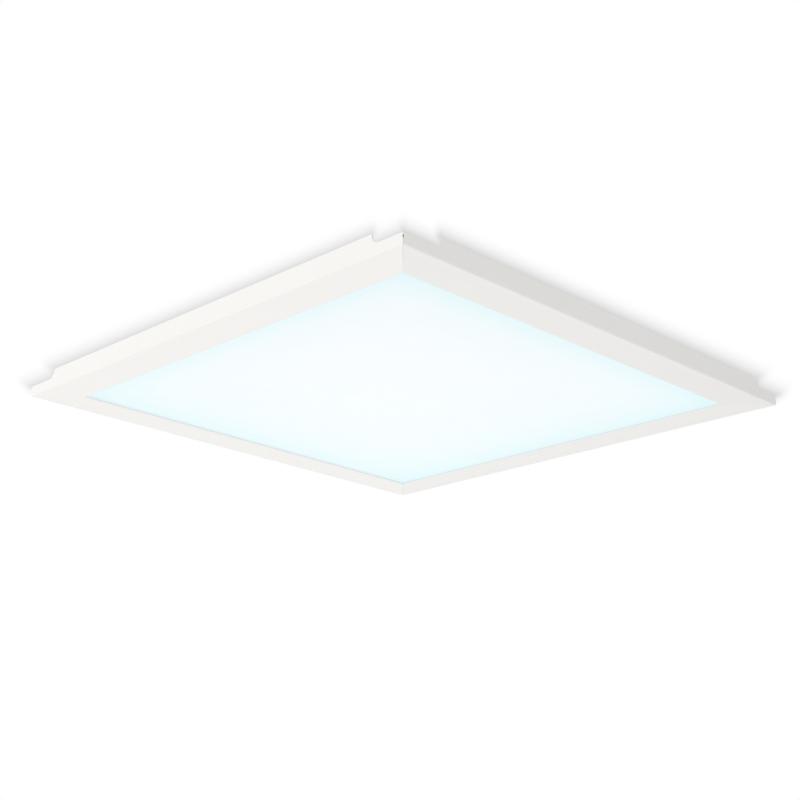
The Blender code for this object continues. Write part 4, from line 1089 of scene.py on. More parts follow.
def driver_lid_mesh():
    """Lid with a soft edge, two banks of vents, a blank sunk field and the switch's window."""
    window = rounded(SWITCH_MIDDLE, DRIVER_Y, *SWITCH_WINDOW, 3)
    lid = prism("driver_lid", [driver_outline(0), window], LID_UNDERSIDE, LID_HIGH.z)
    outer, inner = DRIVER_WALL + GAP, DRIVER_WALL + GAP + LIP_THICKNESS
    lip = prism("lip", [driver_outline(outer), driver_outline(inner)], LID_LOW.z, LID_UNDERSIDE + LIP_ROOT)
    lid = combined(lid, "UNION", [lip])
    label = rounded(0, DRIVER_Y, *LABEL_FIELD)
    field = rounded(SWITCH_MIDDLE, DRIVER_Y, *SWITCH_FIELD)
    cutters = [prism("label_field", [label], LID_HIGH.z - LABEL_DEPTH, CEILING),
               prism("switch_field", [field], LID_HIGH.z - SWITCH_FIELD_DEPTH, CEILING)]
    for bank in VENT_BANKS:
        for index in range(VENTS_IN_BANK):
            x = bank + (index - VENTS_IN_BANK // 2) * LID_VENT_PITCH
            vent = slot(x, DRIVER_Y, *LID_VENT, 6)
            cutters.append(prism("vent", [vent], LID_UNDERSIDE - OVERRUN, CEILING))
    return carved(lid, cutters, LID_EDGE)


def switch_mesh():
    """Slider with a ridged knob standing through the lid's window."""
    low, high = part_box("tone_switch")
    plate_top = LID_UNDERSIDE - 2 * GAP
    plate = box("tone_switch", low, (high.x, high.y, plate_top))
    long, half = KNOB_HALF
    knob = [(-long, plate_top - 0.0003), (-long, high.z - 0.0003)]
    for ridge in KNOB_RIDGES:
        knob += [(ridge - 0.0003, high.z), (ridge + 0.0003, high.z)]
        if ridge < KNOB_RIDGES[-1]:
            knob.append((ridge + 0.0005, high.z - 0.0004))
    knob += [(long, high.z - 0.0003), (long, plate_top - 0.0003)]
    knob = [(SWITCH_X + x, z) for x, z in knob]
    post = prism("knob", [knob], DRIVER_Y - half, DRIVER_Y + half, ALONG_Y)
    return mesh_of(softened(combined(plate, "UNION", [post]), SWITCH_EDGE, 2, 40.0))


def board_mesh():
    """Circuit board with openings round the capacitor and the core, and holes for their pins."""
    low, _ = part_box("driver_board")
    holes = []
    for name in ("driver_capacitor", "driver_transformer"):
        a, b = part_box(name)
        middle = (a + b) / 2
        holes.append(rounded(middle.x, middle.y, b.x - a.x + 2 * BOARD_OPENING_GAP,
                             b.y - a.y + 2 * BOARD_OPENING_GAP, BOARD_OPENING_GAP))
    x, offset, radius = BOARD_HOLE
    holes += [circle(sx * x, DRIVER_Y + sy * offset, radius) for sx in (-1, 1) for sy in (-1, 1)]
    board = prism("driver_board", [driver_outline(DRIVER_WALL + BOARD_MARGIN)] + holes, low.z,
                  low.z + BOARD_THICKNESS)
    return mesh_of(softened(board, BOARD_EDGE, 1))


def board_part_meshes():
    """Bodies of the parts on the board, and their bent legs."""
    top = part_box("driver_board")[0].z + BOARD_THICKNESS
    bodies, legs = [], []
    for x, offset, length, breadth, rise, count in BOARD_PARTS:
        y = DRIVER_Y + offset
        outline = rounded(x, y, length, breadth - 2 * LEG_REACH, BODY_CORNER, 3)
        body = prism("body", [outline], top + LEG_LIFT, top + rise)
        bodies.append(softened(body, BODY_EDGE))
        foot, knee, thick = y + breadth / 2, top + LEG_KNEE * rise, LEG_THICKNESS
        root = foot - LEG_REACH - 0.0001
        bent = [(foot, top), (foot, top + thick), (foot - 0.0005, top + thick), (foot - 0.0007, knee),
                (root, knee), (root, knee - thick), (foot - 0.0009, knee - thick), (foot - 0.0007, top)]
        for index in range(count):
            at = x + (index - (count - 1) / 2) * length / (count + 0.5)
            for hand in (1, -1):
                outline = [(y + hand * (a - y), z) for a, z in bent]
                legs.append(prism("leg", [outline], at - LEG_HALF, at + LEG_HALF, ALONG_X))
    for hand in (-1, 1):
        for index in range(CHIP_COUNT):
            at, y = (index - (CHIP_COUNT - 1) / 2) * CHIP_PITCH, DRIVER_Y + hand * CHIP_LINE
            length, breadth, rise = CHIP_SIZE
            chip = box("chip", (at - length / 2, y - breadth / 2, top + CHIP_LIFT),
                       (at + length / 2, y + breadth / 2, top + rise))
            bodies.append(softened(chip, CHIP_EDGE, 1))
    return joined("driver_board_parts", bodies), joined("driver_board_legs", legs)


def transformer_mesh():
    """Two core halves with a taped winding between them."""
    low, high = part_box("driver_transformer")
    middle = (low + high) / 2
    halves = []
    for a, b in ((low.x, middle.x - CORE_HALF_GAP), (middle.x + CORE_HALF_GAP, high.x)):
        halves.append(softened(box("core", (a, low.y, low.z), (b, high.y, high.z)), CORE_EDGE))
    across, tall = WINDING_MARGIN
    outline = rounded(middle.y, middle.z, high.y - low.y - across, high.z - low.z - tall, WINDING_CORNER)
    winding = prism("winding", [outline], low.x + WINDING_ROOT, high.x - WINDING_ROOT, ALONG_X)
    return mesh_of(combined(winding, "UNION", halves))


def capacitor_mesh():
    """Capacitor lying on its side, with its crimp, rolled rims and sunk ends."""
    low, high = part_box("driver_capacitor")
    radius, length = (high.z - low.z) / 2, high.x - low.x
    waist = radius - CAN_GROOVE
    far, near = length - CAN_END_SUNK[0], CAN_END_SUNK[1]
    profile = [(0.0, far), (radius - 0.0007, far), (radius - 0.0006, length), (waist, length),
               (radius, length - CAN_GROOVE), (radius, 0.0030), (waist, 0.0026), (waist, 0.0020),
               (radius, 0.0016), (radius, CAN_GROOVE), (waist, 0.0), (radius - 0.0009, 0.0),
               (radius - 0.0010, near), (0.0, near)]
    mesh = mesh_of(turned("driver_capacitor", profile))
    turn, _ = ALONG_X
    mesh.transform(Matrix.Translation((low.x, (low.y + high.y) / 2, (low.z + high.z) / 2)) @ turn)
    return mesh


def make_driver():
    """Driver from its board outwards; the board is shown by three pieces."""
    bodies, legs = board_part_meshes()
    show(board_mesh(), "driver_board")
    show(bodies, "driver_board", material=MATERIALS["switch_black"], name="driver_board_parts")
    show(legs, "driver_board", material=MATERIALS["zinc_steel"], name="driver_board_legs")
    show(transformer_mesh(), "driver_transformer")
    show(capacitor_mesh(), "driver_capacitor")
    show(driver_base_mesh(), "driver_base")
    show(driver_lid_mesh(), "driver_lid")
    show(switch_mesh(), "tone_switch", "tone_slider")


# ---------------------------------------------------------------- terminal block
BLOCK_X = (BLOCK_LOW.x + BLOCK_HIGH.x) / 2
BLOCK_CHAMFER = 0.0012
BLOCK_EDGE = 0.00016
POLE_PITCH = 0.008
POLES = {"live": BLOCK_X - POLE_PITCH / 2, "neutral": BLOCK_X + POLE_PITCH / 2}
LEVER_WIDTH = 0.005
LEVER_LENGTH = 0.0140
LEVER_PIVOT_Y = 0.082
LEVER_PIVOT_Z = -0.0042
LEVER_THICKNESS = 0.0022
LEVER_RIDGES = 4
LEVER_RIDGE_PITCH = 0.0012
LEVER_HUB = 0.0018
LEVER_PIN = (0.0009, 0.0009)             # radius, and how far it stands out of each side
LEVER_SIDE_GAP = 0.0002
LEVER_EDGE = 0.00015
LEAD_MOUTH_Z = -0.0085
LEVER_RECESS_FLOOR = -0.0064
LEVER_RECESS_BACK = 0.0026               # clear behind the lever's pivot
WIRE_MOUTH = (0.0028, 0.012, -0.0098, -0.0070)   # width, depth, bottom and top
MOUTH_FLARE = (0.0008, 0.0007, 0.0009)   # to the sides and up, down, and into the block
FINGER_DIP = 0.0010
SIDE_GROOVE = (0.0004, 0.006, 0.0015, 0.0030)    # depth, distance from the ends, bottom and top


def terminal_block_mesh():
    """Two-pole block: chamfered housing, lever recesses, flared wire mouths and test holes."""
    top = BLOCK_HIGH.z
    front, back = BLOCK_LOW.y, BLOCK_HIGH.y
    cut = BLOCK_CHAMFER
    side = [(front, BLOCK_LOW.z), (front, top - 2 * cut), (front + cut, top), (back - cut, top),
            (back, top - cut), (back, BLOCK_LOW.z)]
    block = prism("terminal_block", [side], BLOCK_LOW.x, BLOCK_HIGH.x, ALONG_X)
    half = LEVER_WIDTH / 2 + LEVER_SIDE_GAP
    wall = POLE_PITCH / 2 - half
    cutters = [rod("pivot_bore", 0.0010, BLOCK_LOW.x + wall, BLOCK_HIGH.x - wall,
                   (LEVER_PIVOT_Y, LEVER_PIVOT_Z), ALONG_X, 24)]
    tip = LEVER_PIVOT_Y - LEVER_LENGTH - 0.0006
    width, depth, low, high = WIRE_MOUTH
    flare_out, flare_down, flare_in = MOUTH_FLARE
    for x in POLES.values():
        cutters.append(box("lever_recess", (x - half, tip, LEVER_RECESS_FLOOR),
                           (x + half, LEVER_PIVOT_Y + LEVER_RECESS_BACK, CEILING)))
        cutters.append(box("finger_dip", (x - half + 0.0008, front - OVERRUN, top - FINGER_DIP),
                           (x + half - 0.0008, tip + OVERRUN, CEILING)))
        cutters.append(box("wire_mouth", (x - width / 2, front - OVERRUN, low),
                           (x + width / 2, front + depth, high)))
        wide = width / 2 + flare_out
        flare = box("flare", (x - wide, front - 0.0002, low - flare_down),
                    (x + wide, front + flare_in, high + flare_out))
        for vertex in flare.data.vertices:
            if vertex.co.y > front:
                vertex.co.x = x + math.copysign(width / 2, vertex.co.x - x)
                vertex.co.z = low if vertex.co.z < (low + high) / 2 else high
        cutters.append(flare)
    cutters.append(rod("lead_mouth", LEAD_HOLE_RADIUS, back - 0.004, back + OVERRUN,
                       (BLOCK_X, LEAD_MOUTH_Z), ALONG_Y, 24))
    depth, margin, low, high = SIDE_GROOVE
    for side in (BLOCK_LOW.x, BLOCK_HIGH.x):
        cutters.append(box("side_groove", (side - depth, front + margin, BLOCK_LOW.z + low),
                           (side + depth, back - margin, BLOCK_LOW.z + high)))
    return carved(block, cutters, BLOCK_EDGE, 40.0)


def lever_mesh():
    """Lever lying shut, its pivot at the origin: a tapering arm with a ridged thumb pad."""
    top = BLOCK_HIGH.z - LEVER_PIVOT_Z
    low = top - LEVER_THICKNESS
    outline = [(0.0, low), (0.0, top - 0.0002), (-0.0030, top), (-LEVER_LENGTH + 0.0062, top)]
    for ridge in range(LEVER_RIDGES):
        y = -LEVER_LENGTH + 0.0058 - ridge * LEVER_RIDGE_PITCH
        outline += [(y, top - 0.0003), (y - 0.0006, top - 0.0003), (y - 0.0008, top)]
    outline += [(-LEVER_LENGTH + 0.0004, top - 0.0002), (-LEVER_LENGTH, top - 0.0008),
                (-LEVER_LENGTH, low + 0.0008), (-LEVER_LENGTH + 0.0008, low)]
    half = LEVER_WIDTH / 2
    arm = prism("terminal_lever", [outline], -half, half, ALONG_X)
    hub = rod("hub", LEVER_HUB, -half, half, (0.0, 0.0), ALONG_X)
    radius, reach = LEVER_PIN
    pin = rod("pin", radius, -half - reach, half + reach, (0.0, 0.0), ALONG_X, 24)
    return mesh_of(softened(combined(arm, "UNION", [hub, pin]), LEVER_EDGE, 2, 45.0))


def make_terminals():
    """Terminal block, and a lever for each pole that turns about its pivot."""
    show(terminal_block_mesh(), "terminal_block")
    mesh = lever_mesh()
    for pole, x in POLES.items():
        show(mesh, f"terminal_lever_{pole}", f"lever_{pole}", place=(x, LEVER_PIVOT_Y, LEVER_PIVOT_Z))


# ---------------------------------------------------------------- leads
SUPPLY_RADIUS = 0.0014
PANEL_RADIUS = 0.0010
BOOT_LENGTH = 0.007                      # shrunk boot where a lead leaves the driver
BOOT_TALL = 0.002                        # a lead is in its boot while this near the hole's level
ROUTE_STEP = 0.0009
GROMMET_NECK = 0.0032 - GAP
GROMMET_ROUND = 0.0010


def lead_mesh(name, points, radius, boot_swell):
    """A sheathed lead with a tapering boot outside the driver's end wall."""
    def width(place):
        out = abs(place.x) - DRIVER_LENGTH / 2 - GAP
        if out < 0.0 or out > BOOT_LENGTH or abs(place.z - LEAD_HOLE_Z) > BOOT_TALL:
            return 1.0
        return 1.0 + boot_swell * min(1.0, (BOOT_LENGTH - out) / (0.5 * BOOT_LENGTH))
    route = smooth_path(points, ROUTE_STEP)
    return tube(name, route, radius, [width(place) for place in route])


def make_leads():
    """Supply lead from block to driver, panel lead from driver to light strip, and its grommet."""
    end = DRIVER_LENGTH / 2
    back = BLOCK_HIGH.y
    supply = [(BLOCK_X, back - 0.0037, LEAD_MOUTH_Z), (BLOCK_X, back + 0.002, LEAD_MOUTH_Z),
              (0.146, 0.0965, -0.0088), (0.136, 0.0985, -0.0086), (0.121, 0.095, -0.0072),
              (end + 0.006, SUPPLY_HOLE_Y, LEAD_HOLE_Z), (end - 0.0024, SUPPLY_HOLE_Y, LEAD_HOLE_Z)]
    show(lead_mesh("supply_lead", supply, SUPPLY_RADIUS, 0.45), "supply_lead")
    low = ON_COVER + PANEL_RADIUS
    panel = [(0.0024 - end, PANEL_HOLE_Y, LEAD_HOLE_Z), (-0.110, PANEL_HOLE_Y, LEAD_HOLE_Z),
             (-0.119, 0.061, -0.0074), (-0.135, 0.064, low), (-0.165, 0.069, low),
             (-0.205, 0.0735, low), (-0.245, DRIVER_Y, low), (-0.264, DRIVER_Y, low + 0.0002),
             (-0.2735, DRIVER_Y, -0.0080), (-0.2775, DRIVER_Y, -0.0079), (-0.2795, DRIVER_Y, -0.0098),
             (-0.2795, DRIVER_Y, -0.0130), (-0.2793, 0.0738, -0.0152), (-0.2790, 0.0690, -0.0166),
             (-0.2772, 0.0635, -0.0168), (-0.2742, 0.0595, -0.0166), (-0.2722, 0.058, -0.0164),
             (-0.2702, 0.058, -0.0164)]
    show(lead_mesh("panel_lead", panel, PANEL_RADIUS, 0.85), "panel_lead")
    low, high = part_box("lead_grommet")
    flange = high.x - (low.x + high.x) / 2
    neck, bore = GROMMET_NECK, PANEL_RADIUS + GAP
    profile = [(bore, high.z - 0.0003), (bore + 0.0002, high.z)]
    profile += arc(flange - GROMMET_ROUND, high.z - GROMMET_ROUND, GROMMET_ROUND, 90, 0, 6)
    profile += [(flange, ON_COVER), (neck, ON_COVER), (neck, COVER_LOW.z), (neck, low.z + 0.0003),
                (neck - 0.0003, low.z), (bore, low.z)]
    show(mesh_of(turned("lead_grommet", profile, closed=True)), "lead_grommet",
         place=((low.x + high.x) / 2, (low.y + high.y) / 2, 0.0))


# ---------------------------------------------------------------- ceiling rails, strap and catches
SHEET = 0.0012                           # galvanised sheet
BEND_INNER = 0.0006
BEND_OUTER = BEND_INNER + SHEET
MOUNT_LOW, MOUNT_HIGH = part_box("mounting_rail_east")
STRAP_LOW, STRAP_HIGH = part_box("cross_strap")
SLEEVE_LOW, SLEEVE_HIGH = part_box("cable_sleeve")
SLEEVE_X = (SLEEVE_LOW.x + SLEEVE_HIGH.x) / 2
SHEET_EASE = 0.00012                     # rounding of the sheets' cut edges
RAIL_WEB = 0.216
RAIL_SLOT_ALONG = 0.190
SLOT_WIDTH = 0.005
SLOT_LENGTH = 0.014
STRAP_JOGGLE = 0.183
STRAP_RAMP = 0.002
STRAP_SETBACKS = (0.0010, 0.0010, 0.0009, 0.0009, 0.0010, 0.0010)   # of its bends below from those above
STRAP_SLOT_X = 0.060
CABLE_HOLE_RADIUS = 0.010
CABLE_BORE_RADIUS = 0.0065
WELD_SPOT_RADIUS = 0.0024
WELD_SPOT_DEPTH = 0.00015
WELDS_ACROSS = (-0.006, 0.004)           # from the middle of the rail's flange
WELDS_ALONG = (-0.012, 0.012)
END_HOLE = (0.0018, 0.240)               # radius, and place along the rail
EARTH_HOLE = (0.0022, (-0.100, 0.012))   # radius, and place on the strap
PILOT_RADIUS = 0.0016
PILOTS = (-0.020, 0.0, 0.020)


def mounting_rail_mesh():
    """The east rail: Z-bent sheet with real bends, keyed slots and the welds that hold the strap."""
    inner, outer, low = MOUNT_LOW.x, MOUNT_HIGH.x, MOUNT_LOW.z
    web = RAIL_WEB + SHEET
    outline = [(inner, 0.0)]
    outline += arc(web - BEND_OUTER, -BEND_OUTER, BEND_OUTER, 90, 0, 6)
    outline += arc(web + BEND_INNER, low + SHEET + BEND_INNER, BEND_INNER, 180, 270, 4)
    outline += [(outer, low + SHEET), (outer, low)]
    outline += arc(RAIL_WEB + BEND_OUTER, low + BEND_OUTER, BEND_OUTER, 270, 180, 6)
    outline += arc(RAIL_WEB - BEND_INNER, -SHEET - BEND_INNER, BEND_INNER, 0, 90, 4)
    outline += [(inner, -SHEET)]
    rail = prism("mounting_rail", [outline], MOUNT_LOW.y, MOUNT_HIGH.y, ALONG_Y)
    middle, below = (inner + RAIL_WEB) / 2, -SHEET - OVERRUN
    radius, along = END_HOLE
    cutters = []
    for sy in (-1, 1):
        opening = slot(middle, sy * RAIL_SLOT_ALONG, SLOT_WIDTH, SLOT_LENGTH)
        cutters.append(prism("slot_tool", [opening], below, OVERRUN))
        cutters.append(rod("end_hole", radius, below, OVERRUN, (middle, sy * along), sides=24))
    for x in WELDS_ACROSS:
        for y in WELDS_ALONG:
            cutters.append(rod("weld", WELD_SPOT_RADIUS, -WELD_SPOT_DEPTH, OVERRUN, (middle + x, y),
                               sides=24))
    return carved(rail, cutters, SHEET_EASE)


def strap_mesh():
    """Cross strap, joggled under the rails' flanges, with its cable hole and fixing slots."""
    drop = SHEET + GAP
    ramp = STRAP_JOGGLE + STRAP_RAMP
    bends = [(STRAP_JOGGLE - 0.0010, 0.0), (STRAP_JOGGLE - 0.0001, -0.00015),
             (STRAP_JOGGLE + 0.0005, -0.0005), (ramp - 0.0005, 0.0005 - drop),
             (ramp + 0.0001, 0.00015 - drop), (ramp + 0.0010, -drop)]
    under = [(x - setback, z - SHEET) for setback, (x, z) in zip(STRAP_SETBACKS, bends)]
    half = bends + [(STRAP_HIGH.x, -drop), (STRAP_HIGH.x, -drop - SHEET)] + under[::-1]
    outline = half + [(-x, z) for x, z in reversed(half)]
    strap = prism("cross_strap", [outline], STRAP_LOW.y, STRAP_HIGH.y, ALONG_Y)
    below = -SHEET - OVERRUN
    radius, place = EARTH_HOLE
    cutters = [rod("cable_hole", CABLE_HOLE_RADIUS, below, OVERRUN, (SLEEVE_X, 0.0), sides=48),
               rod("earth_hole", radius, below, OVERRUN, place, sides=24)]
    for sx in (-1, 1):
        opening = slot(sx * STRAP_SLOT_X, 0.0, SLOT_WIDTH, SLOT_LENGTH)
        cutters.append(prism("slot_tool", [opening], below, OVERRUN))
    for x in PILOTS:
        cutters.append(rod("pilot", PILOT_RADIUS, below, OVERRUN, (x, 0.0), sides=20))
    return carved(strap, cutters, SHEET_EASE)


def sleeve_mesh():
    """Rubber edging with a rounded bead round the cable hole."""
    neck = CABLE_HOLE_RADIUS - GAP
    rim = SLEEVE_HIGH.x - SLEEVE_X
    under = -SHEET - GAP
    bottom = SLEEVE_LOW.z
    bead = (under - bottom) / 2
    profile = [(neck, SLEEVE_HIGH.z), (neck, under), (rim - bead, under)]
    profile += arc(rim - bead, bottom + bead, bead, 90, -90, 8)[1:]
    profile += [(CABLE_BORE_RADIUS + 0.0005, bottom), (CABLE_BORE_RADIUS, bottom + 0.0005),
                (CABLE_BORE_RADIUS, SLEEVE_HIGH.z - 0.0004), (CABLE_BORE_RADIUS + 0.0004, SLEEVE_HIGH.z)]
    return mesh_of(turned("cable_sleeve", profile, closed=True, steps=48))


CATCH_CENTRE = 0.245
CATCH_HUB = 0.0075
CATCH_NOSE = 0.019
CATCH_NOSE_HALF = 0.0045
CATCH_TAIL = 0.022
CATCH_TAIL_HALF = 0.0035
CATCH_BORE = 0.0031
CATCH_THICKNESS = 0.0018
CATCH_CORNER = 0.002                     # rounding of the nose's corners
CATCH_EDGE = 0.00022
LEAD_IN = (0.0033, 0.0010)               # length and height of the slope under the nose
RIB_HALF = 0.0006
RIB_RISE = 0.0007                        # of the ring and the rib above the plate
RIB_ROOT = 0.0003
RIB_START = 0.0070
TAB_THICKNESS = 0.0014
TAB_EASE = 0.0003
POST_SHAFT = 0.0030
POST_HEAD = 0.0050
POST_TAIL = 0.0025
POST_PLAY = 0.00015
POST_HEAD_HEIGHT = 0.0014
POST_EASE = 0.0002


def catch_mesh(bottom, top_of_tab):
    """Turn catch about its pivot: lead-in nose, hub ring, ribbed arm and a ridged finger tab."""
    top = bottom + CATCH_THICKNESS
    nose_turn = math.degrees(math.asin(CATCH_NOSE_HALF / CATCH_HUB))
    tail_turn = math.degrees(math.asin(CATCH_TAIL_HALF / CATCH_HUB))
    corner = CATCH_CORNER
    upper = [(CATCH_TAIL, CATCH_TAIL_HALF)]
    upper += arc(0, 0, CATCH_HUB, tail_turn, 180 - nose_turn, 14)
    upper += arc(corner - CATCH_NOSE, CATCH_NOSE_HALF - corner, corner, 90, 180, 5)
    outline = upper + [(x, -y) for x, y in reversed(upper)]
    plate = prism("catch", [outline, circle(0, 0, CATCH_BORE, 40)], bottom, top)
    root, crest = top - RIB_ROOT, top + RIB_RISE
    ring = prism("ring", [circle(0, 0, CATCH_HUB - 0.0003, 48), circle(0, 0, POST_HEAD + 0.0005, 48)],
                 root, crest)
    rib = box("rib", (RIB_START, -RIB_HALF, root), (CATCH_TAIL - 0.0010, RIB_HALF, crest))
    face = CATCH_TAIL - 0.0002
    half = CATCH_TAIL_HALF - TAB_EASE
    tab_side = [(face - TAB_THICKNESS, top - 0.0005), (face, top - 0.0005)]
    for ridge in range(3):
        z = top + 0.0003 + ridge * 0.0008
        tab_side += [(face, z), (face - TAB_EASE, z + 0.0002), (face - TAB_EASE, z + 0.0004),
                     (face, z + 0.0006)]
    tab_side = [point for point in tab_side if point[1] < top_of_tab - 0.0001]
    tab_side += [(face - TAB_EASE, top_of_tab), (face - TAB_THICKNESS, top_of_tab)]
    tab = prism("tab", [tab_side], -half, half, ALONG_Y)
    catch = combined(plate, "UNION", [ring, rib, tab])
    length, height = LEAD_IN
    lead_in = box("lead_in", (-CATCH_NOSE - OVERRUN, -0.01, bottom - 0.0015),
                  (length - CATCH_NOSE, 0.01, bottom))
    for vertex in lead_in.data.vertices:
        if vertex.co.x < 0.0002 - CATCH_NOSE and vertex.co.z > bottom - 0.0002:
            vertex.co.z = bottom + height
    return carved(catch, [lead_in], CATCH_EDGE, 45.0)


def post_mesh(catch_bottom):
    """Shouldered post with a domed, chamfered head and a centre mark."""
    over = catch_bottom + CATCH_THICKNESS + POST_PLAY
    under = catch_bottom - POST_PLAY
    top = catch_bottom + CATCH_THICKNESS + POST_HEAD_HEIGHT
    eased = POST_HEAD - POST_EASE
    profile = [(0.0, top - 0.0004), (0.0009, top - 0.0001), (0.0013, top), (POST_HEAD - 0.0009, top),
               (POST_HEAD - 0.0003, top - 0.0003), (POST_HEAD, top - 0.0007), (POST_HEAD, over + POST_EASE),
               (eased, over), (POST_SHAFT, over), (POST_SHAFT, under), (eased, under),
               (POST_HEAD, under - POST_EASE), (POST_HEAD, ON_COVER + POST_EASE), (eased, ON_COVER),
               (POST_TAIL, ON_COVER), (POST_TAIL, COVER_LOW.z), (0.0, COVER_LOW.z)]
    return mesh_of(turned("catch_post", profile))


def make_mounting():
    """Ceiling rails, strap and sleeve, and the four catches on their posts."""
    rail = mounting_rail_mesh()
    show(rail, "mounting_rail_east")
    show(rail, "mounting_rail_west", degrees=180)
    show(strap_mesh(), "cross_strap")
    show(sleeve_mesh(), "cable_sleeve", place=(SLEEVE_X, 0.0, 0.0))
    low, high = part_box("catch_ne")
    catch, post = catch_mesh(low.z, high.z), post_mesh(low.z)
    for corner, (sx, sy) in CORNERS.items():
        place = (sx * CATCH_CENTRE, sy * CATCH_CENTRE, 0.0)
        show(catch, f"catch_{corner}", f"catch_{corner}", 0.0 if sx > 0 else 180.0, place)
        show(post, f"catch_post_{corner}", place=place)


make_frame()
make_inside()
show(cover_mesh(), "back_cover")
make_screws()
make_driver()
make_terminals()
make_leads()
make_mounting()


# ---------------------------------------------------------------- stage, light and camera
CAMERA_AZIMUTH = math.radians(45.344)    # from -Y towards +X
CAMERA_ELEVATION = math.radians(-18.516)
CAMERA_ROLL = math.radians(0.785)
CAMERA_DISTANCE = 2.7147 * 2 * HALF
CAMERA_LENS = 64.39
CAMERA_SHIFT = -0.00555 * 2 * HALF       # the point looked at, right of the bezel's middle
CAMERA_RAISE = 0.00157 * 2 * HALF        # and above it
ROOM_LEVEL = 1.37
ROOM_DROP = 0.8                          # darker overhead, by this much
ROOM_SLOPE = (-0.19, -0.06, 0.137)
OVERHEAD = (0.35, 0.75)                  # how far up that starts and ends
CEILING_SIZE = 60.0
LIGHTS = {                               # place, breadth and power of each studio light
    "key_left": ((-1.5, -1.9, -0.8), 1.2, 1.75), "back_key": ((-0.9, -0.6, 1.8), 2.2, 10.0)}
CARD_SIZE = 0.27
CARD_PLACE = Vector((0.53, 0.53, -0.24))
CARD_BLACK = (0.02, 0.02, 0.02)
SHADOW_DEPTH = (0.255, 0.325)            # of the lamp's painted shadow on the ceiling, south and east
SHADOW_REACH = (0.0165, 0.0180)          # across the light's slant
# the point that the painted ceiling shadow is drawn from; no lamp stands there
SHADOW_LIGHT = Vector((1.09, -1.08, -0.53))
SHADOW_FAR = 1.62                        # distance from that light at which the reach holds


def bare_tree(owner):
    """The node tree of a material or a world, emptied."""
    owner.use_nodes = True
    owner.node_tree.nodes.clear()
    return owner.node_tree


def aimed(place, target, axis):
    """Stand at a place with one axis turned to a target."""
    way = Vector(target) - Vector(place)
    return Matrix.Translation(place) @ way.to_track_quat(axis, "Y").to_matrix().to_4x4()


def make_camera():
    """A camera below the lamp, looking up at its underside with one corner nearest."""
    azimuth, elevation = CAMERA_AZIMUTH, CAMERA_ELEVATION
    right = Vector((math.cos(azimuth), math.sin(azimuth), 0))
    back = Vector((math.sin(azimuth) * math.cos(elevation), -math.cos(azimuth) * math.cos(elevation),
                   math.sin(elevation)))
    up = back.cross(right)
    tilted = right * math.cos(CAMERA_ROLL) + up * math.sin(CAMERA_ROLL)
    target = Vector((0, 0, BOTTOM + CAMERA_RAISE)) + right * CAMERA_SHIFT
    turn = Matrix((tilted, back.cross(tilted), back)).transposed()
    data = bpy.data.cameras.new("camera")
    data.lens = CAMERA_LENS
    data.sensor_width = 36.0
    data.clip_start = 0.01
    data.clip_end = 200.0
    camera = draft("camera", data)
    camera.matrix_world = Matrix.Translation(target + back * CAMERA_DISTANCE) @ turn.to_4x4()
    bpy.context.scene.camera = camera


def lamp_outline():
    """The tops of the south wall and of the east wall, down and up again at each notch."""
    left, right = NOTCH_LEFT - HALF, HALF - NOTCH_RIGHT
    step = [(left, NOTCH_FLOOR), (left, CEILING), (right, CEILING), (right, NOTCH_FLOOR)]
    side = [(-HALF, NOTCH_FLOOR)] + step + [(HALF, NOTCH_FLOOR)]
    return [Vector((x, -HALF, z)) for x, z in side], [Vector((HALF, y, z)) for y, z in side]


def vectors(tree, operation, first, second):
    """A vector from two others, or for a product or a distance its value."""
    made = node(tree, "ShaderNodeVectorMath", {0: first, 1: second}, operation=operation)
    return made.outputs["Value" if operation in ("DOT_PRODUCT", "DISTANCE") else "Vector"]


def shadow_beside(tree, flat, corners, depth, reach):
    """Painted soft shadow along a run of corners, all in the squashed plane of the ceiling."""
    off = 1.0
    for start, end in zip(corners, corners[1:]):
        along = end - start
        across = vectors(tree, "SUBTRACT", flat, start)
        share = vectors(tree, "DOT_PRODUCT", across, along / along.length_squared)
        share = maths(tree, "MINIMUM", maths(tree, "MAXIMUM", share, 0.0), 1.0)
        nearest = node(tree, "ShaderNodeVectorMath", {0: along, "Scale": share}, operation="SCALE").outputs[0]
        off = maths(tree, "MINIMUM", off, vectors(tree, "DISTANCE", across, nearest))
    fade = maths(tree, "MAXIMUM", maths(tree, "SUBTRACT", 1.0, maths(tree, "DIVIDE", off, reach)), 0.0)
    return maths(tree, "MULTIPLY", maths(tree, "POWER", fade, 2.0), depth)


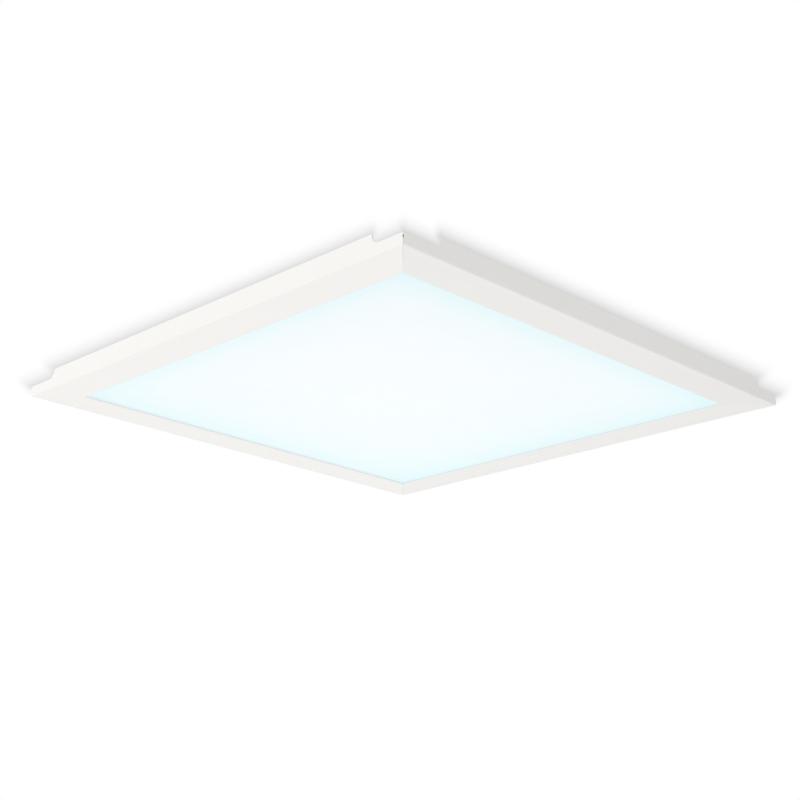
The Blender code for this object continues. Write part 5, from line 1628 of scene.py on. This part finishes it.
def ceiling_material():
    """Plain white ceiling with a painted soft shadow, drawn as a light on the near side would throw it; clear
    from above.
    """
    material = bpy.data.materials.new("ceiling_white")
    tree = bare_tree(material)
    turn = Vector((-SHADOW_LIGHT.y, SHADOW_LIGHT.x, 0)).to_track_quat("X", "Z").to_euler().z
    squash = (1.0, -SHADOW_LIGHT.normalized().z, 0.0)
    place = place_of(tree)
    flat = node(tree, "ShaderNodeMapping", {"Vector": place, "Rotation": (0, 0, -turn)}).outputs[0]
    flat = vectors(tree, "MULTIPLY", flat, squash)
    far = vectors(tree, "DISTANCE", place, SHADOW_LIGHT)
    shadow = 0.0
    for run, depth, reach in zip(lamp_outline(), SHADOW_DEPTH, SHADOW_REACH):
        reach = maths(tree, "MULTIPLY", far, reach / SHADOW_FAR)
        corners = []
        for corner in run:
            ray = corner - SHADOW_LIGHT
            on_ceiling = Matrix.Rotation(-turn, 3, "Z") @ (SHADOW_LIGHT - ray * (SHADOW_LIGHT.z / ray.z))
            corners.append(Vector([a * b for a, b in zip(on_ceiling, squash)]))
        shadow = maths(tree, "MAXIMUM", shadow, shadow_beside(tree, flat, corners, depth, reach))
    level = maths(tree, "SUBTRACT", 1.0, shadow)
    glow = node(tree, "ShaderNodeEmission", {"Strength": level}).outputs[0]
    clear = node(tree, "ShaderNodeBsdfTransparent").outputs[0]
    above = node(tree, "ShaderNodeNewGeometry").outputs["Backfacing"]
    mixed = node(tree, "ShaderNodeMixShader", {0: above, 1: glow, 2: clear}).outputs[0]
    node(tree, "ShaderNodeOutputMaterial", {"Surface": mixed})
    return material


def make_ceiling():
    """The wide ceiling that the lamp hangs from, facing down."""
    bpy.ops.mesh.primitive_plane_add(size=CEILING_SIZE, location=(0, 0, CEILING + GAP))
    ceiling = bpy.context.object
    ceiling.name = "ceiling"
    ceiling.data.flip_normals()
    ceiling.data.materials.append(ceiling_material())
    ceiling.visible_shadow = False
    ceiling.visible_diffuse = False
    ceiling.visible_glossy = False
    ceiling.visible_transmission = False


def make_world():
    """A white room, a little brighter towards the left and below."""
    world = bpy.data.worlds.new("white_room")
    bpy.context.scene.world = world
    tree = bare_tree(world)
    way = node(tree, "ShaderNodeTexCoord").outputs["Generated"]
    level = maths(tree, "ADD", ROOM_LEVEL, vectors(tree, "DOT_PRODUCT", way, ROOM_SLOPE))
    inputs = {"Value": parts_of(tree, way)[2], "From Min": OVERHEAD[0], "From Max": OVERHEAD[1],
              "To Max": ROOM_DROP}
    overhead = node(tree, "ShaderNodeMapRange", inputs, interpolation_type="SMOOTHSTEP")
    level = maths(tree, "SUBTRACT", level, overhead.outputs[0])
    seen = node(tree, "ShaderNodeLightPath").outputs["Is Camera Ray"]
    level = node(tree, "ShaderNodeMix", {0: seen, 2: level, 3: 1.0}, data_type="FLOAT").outputs[0]
    light = node(tree, "ShaderNodeBackground", {"Strength": level}).outputs[0]
    node(tree, "ShaderNodeOutputWorld", {"Surface": light})


def make_dark_card():
    """Black card just off the right-hand corner, which takes a little light from that end of the lamp."""
    bpy.ops.mesh.primitive_plane_add(size=CARD_SIZE)
    card = bpy.context.object
    card.name = "dark_card"
    material = bpy.data.materials.new("black_card")
    tree = bare_tree(material)
    black = node(tree, "ShaderNodeBsdfDiffuse", {"Color": (*CARD_BLACK, 1.0)}).outputs[0]
    node(tree, "ShaderNodeOutputMaterial", {"Surface": black})
    card.data.materials.append(material)
    card.matrix_world = aimed(CARD_PLACE, (HALF, HALF, BOTTOM), "Z")
    card.visible_camera = False
    card.visible_glossy = False


def make_lights():
    """Round soft lights, all turned to the lamp."""
    for name, (place, size, power) in LIGHTS.items():
        data = bpy.data.lights.new(name, "AREA")
        data.shape = "DISK"
        data.size = size
        data.energy = power
        draft(name, data).matrix_world = aimed(place, (0, 0, 0), "-Z")


bpy.context.scene.view_settings.view_transform = "Standard"
make_camera()
make_ceiling()
make_world()
make_dark_card()
make_lights()
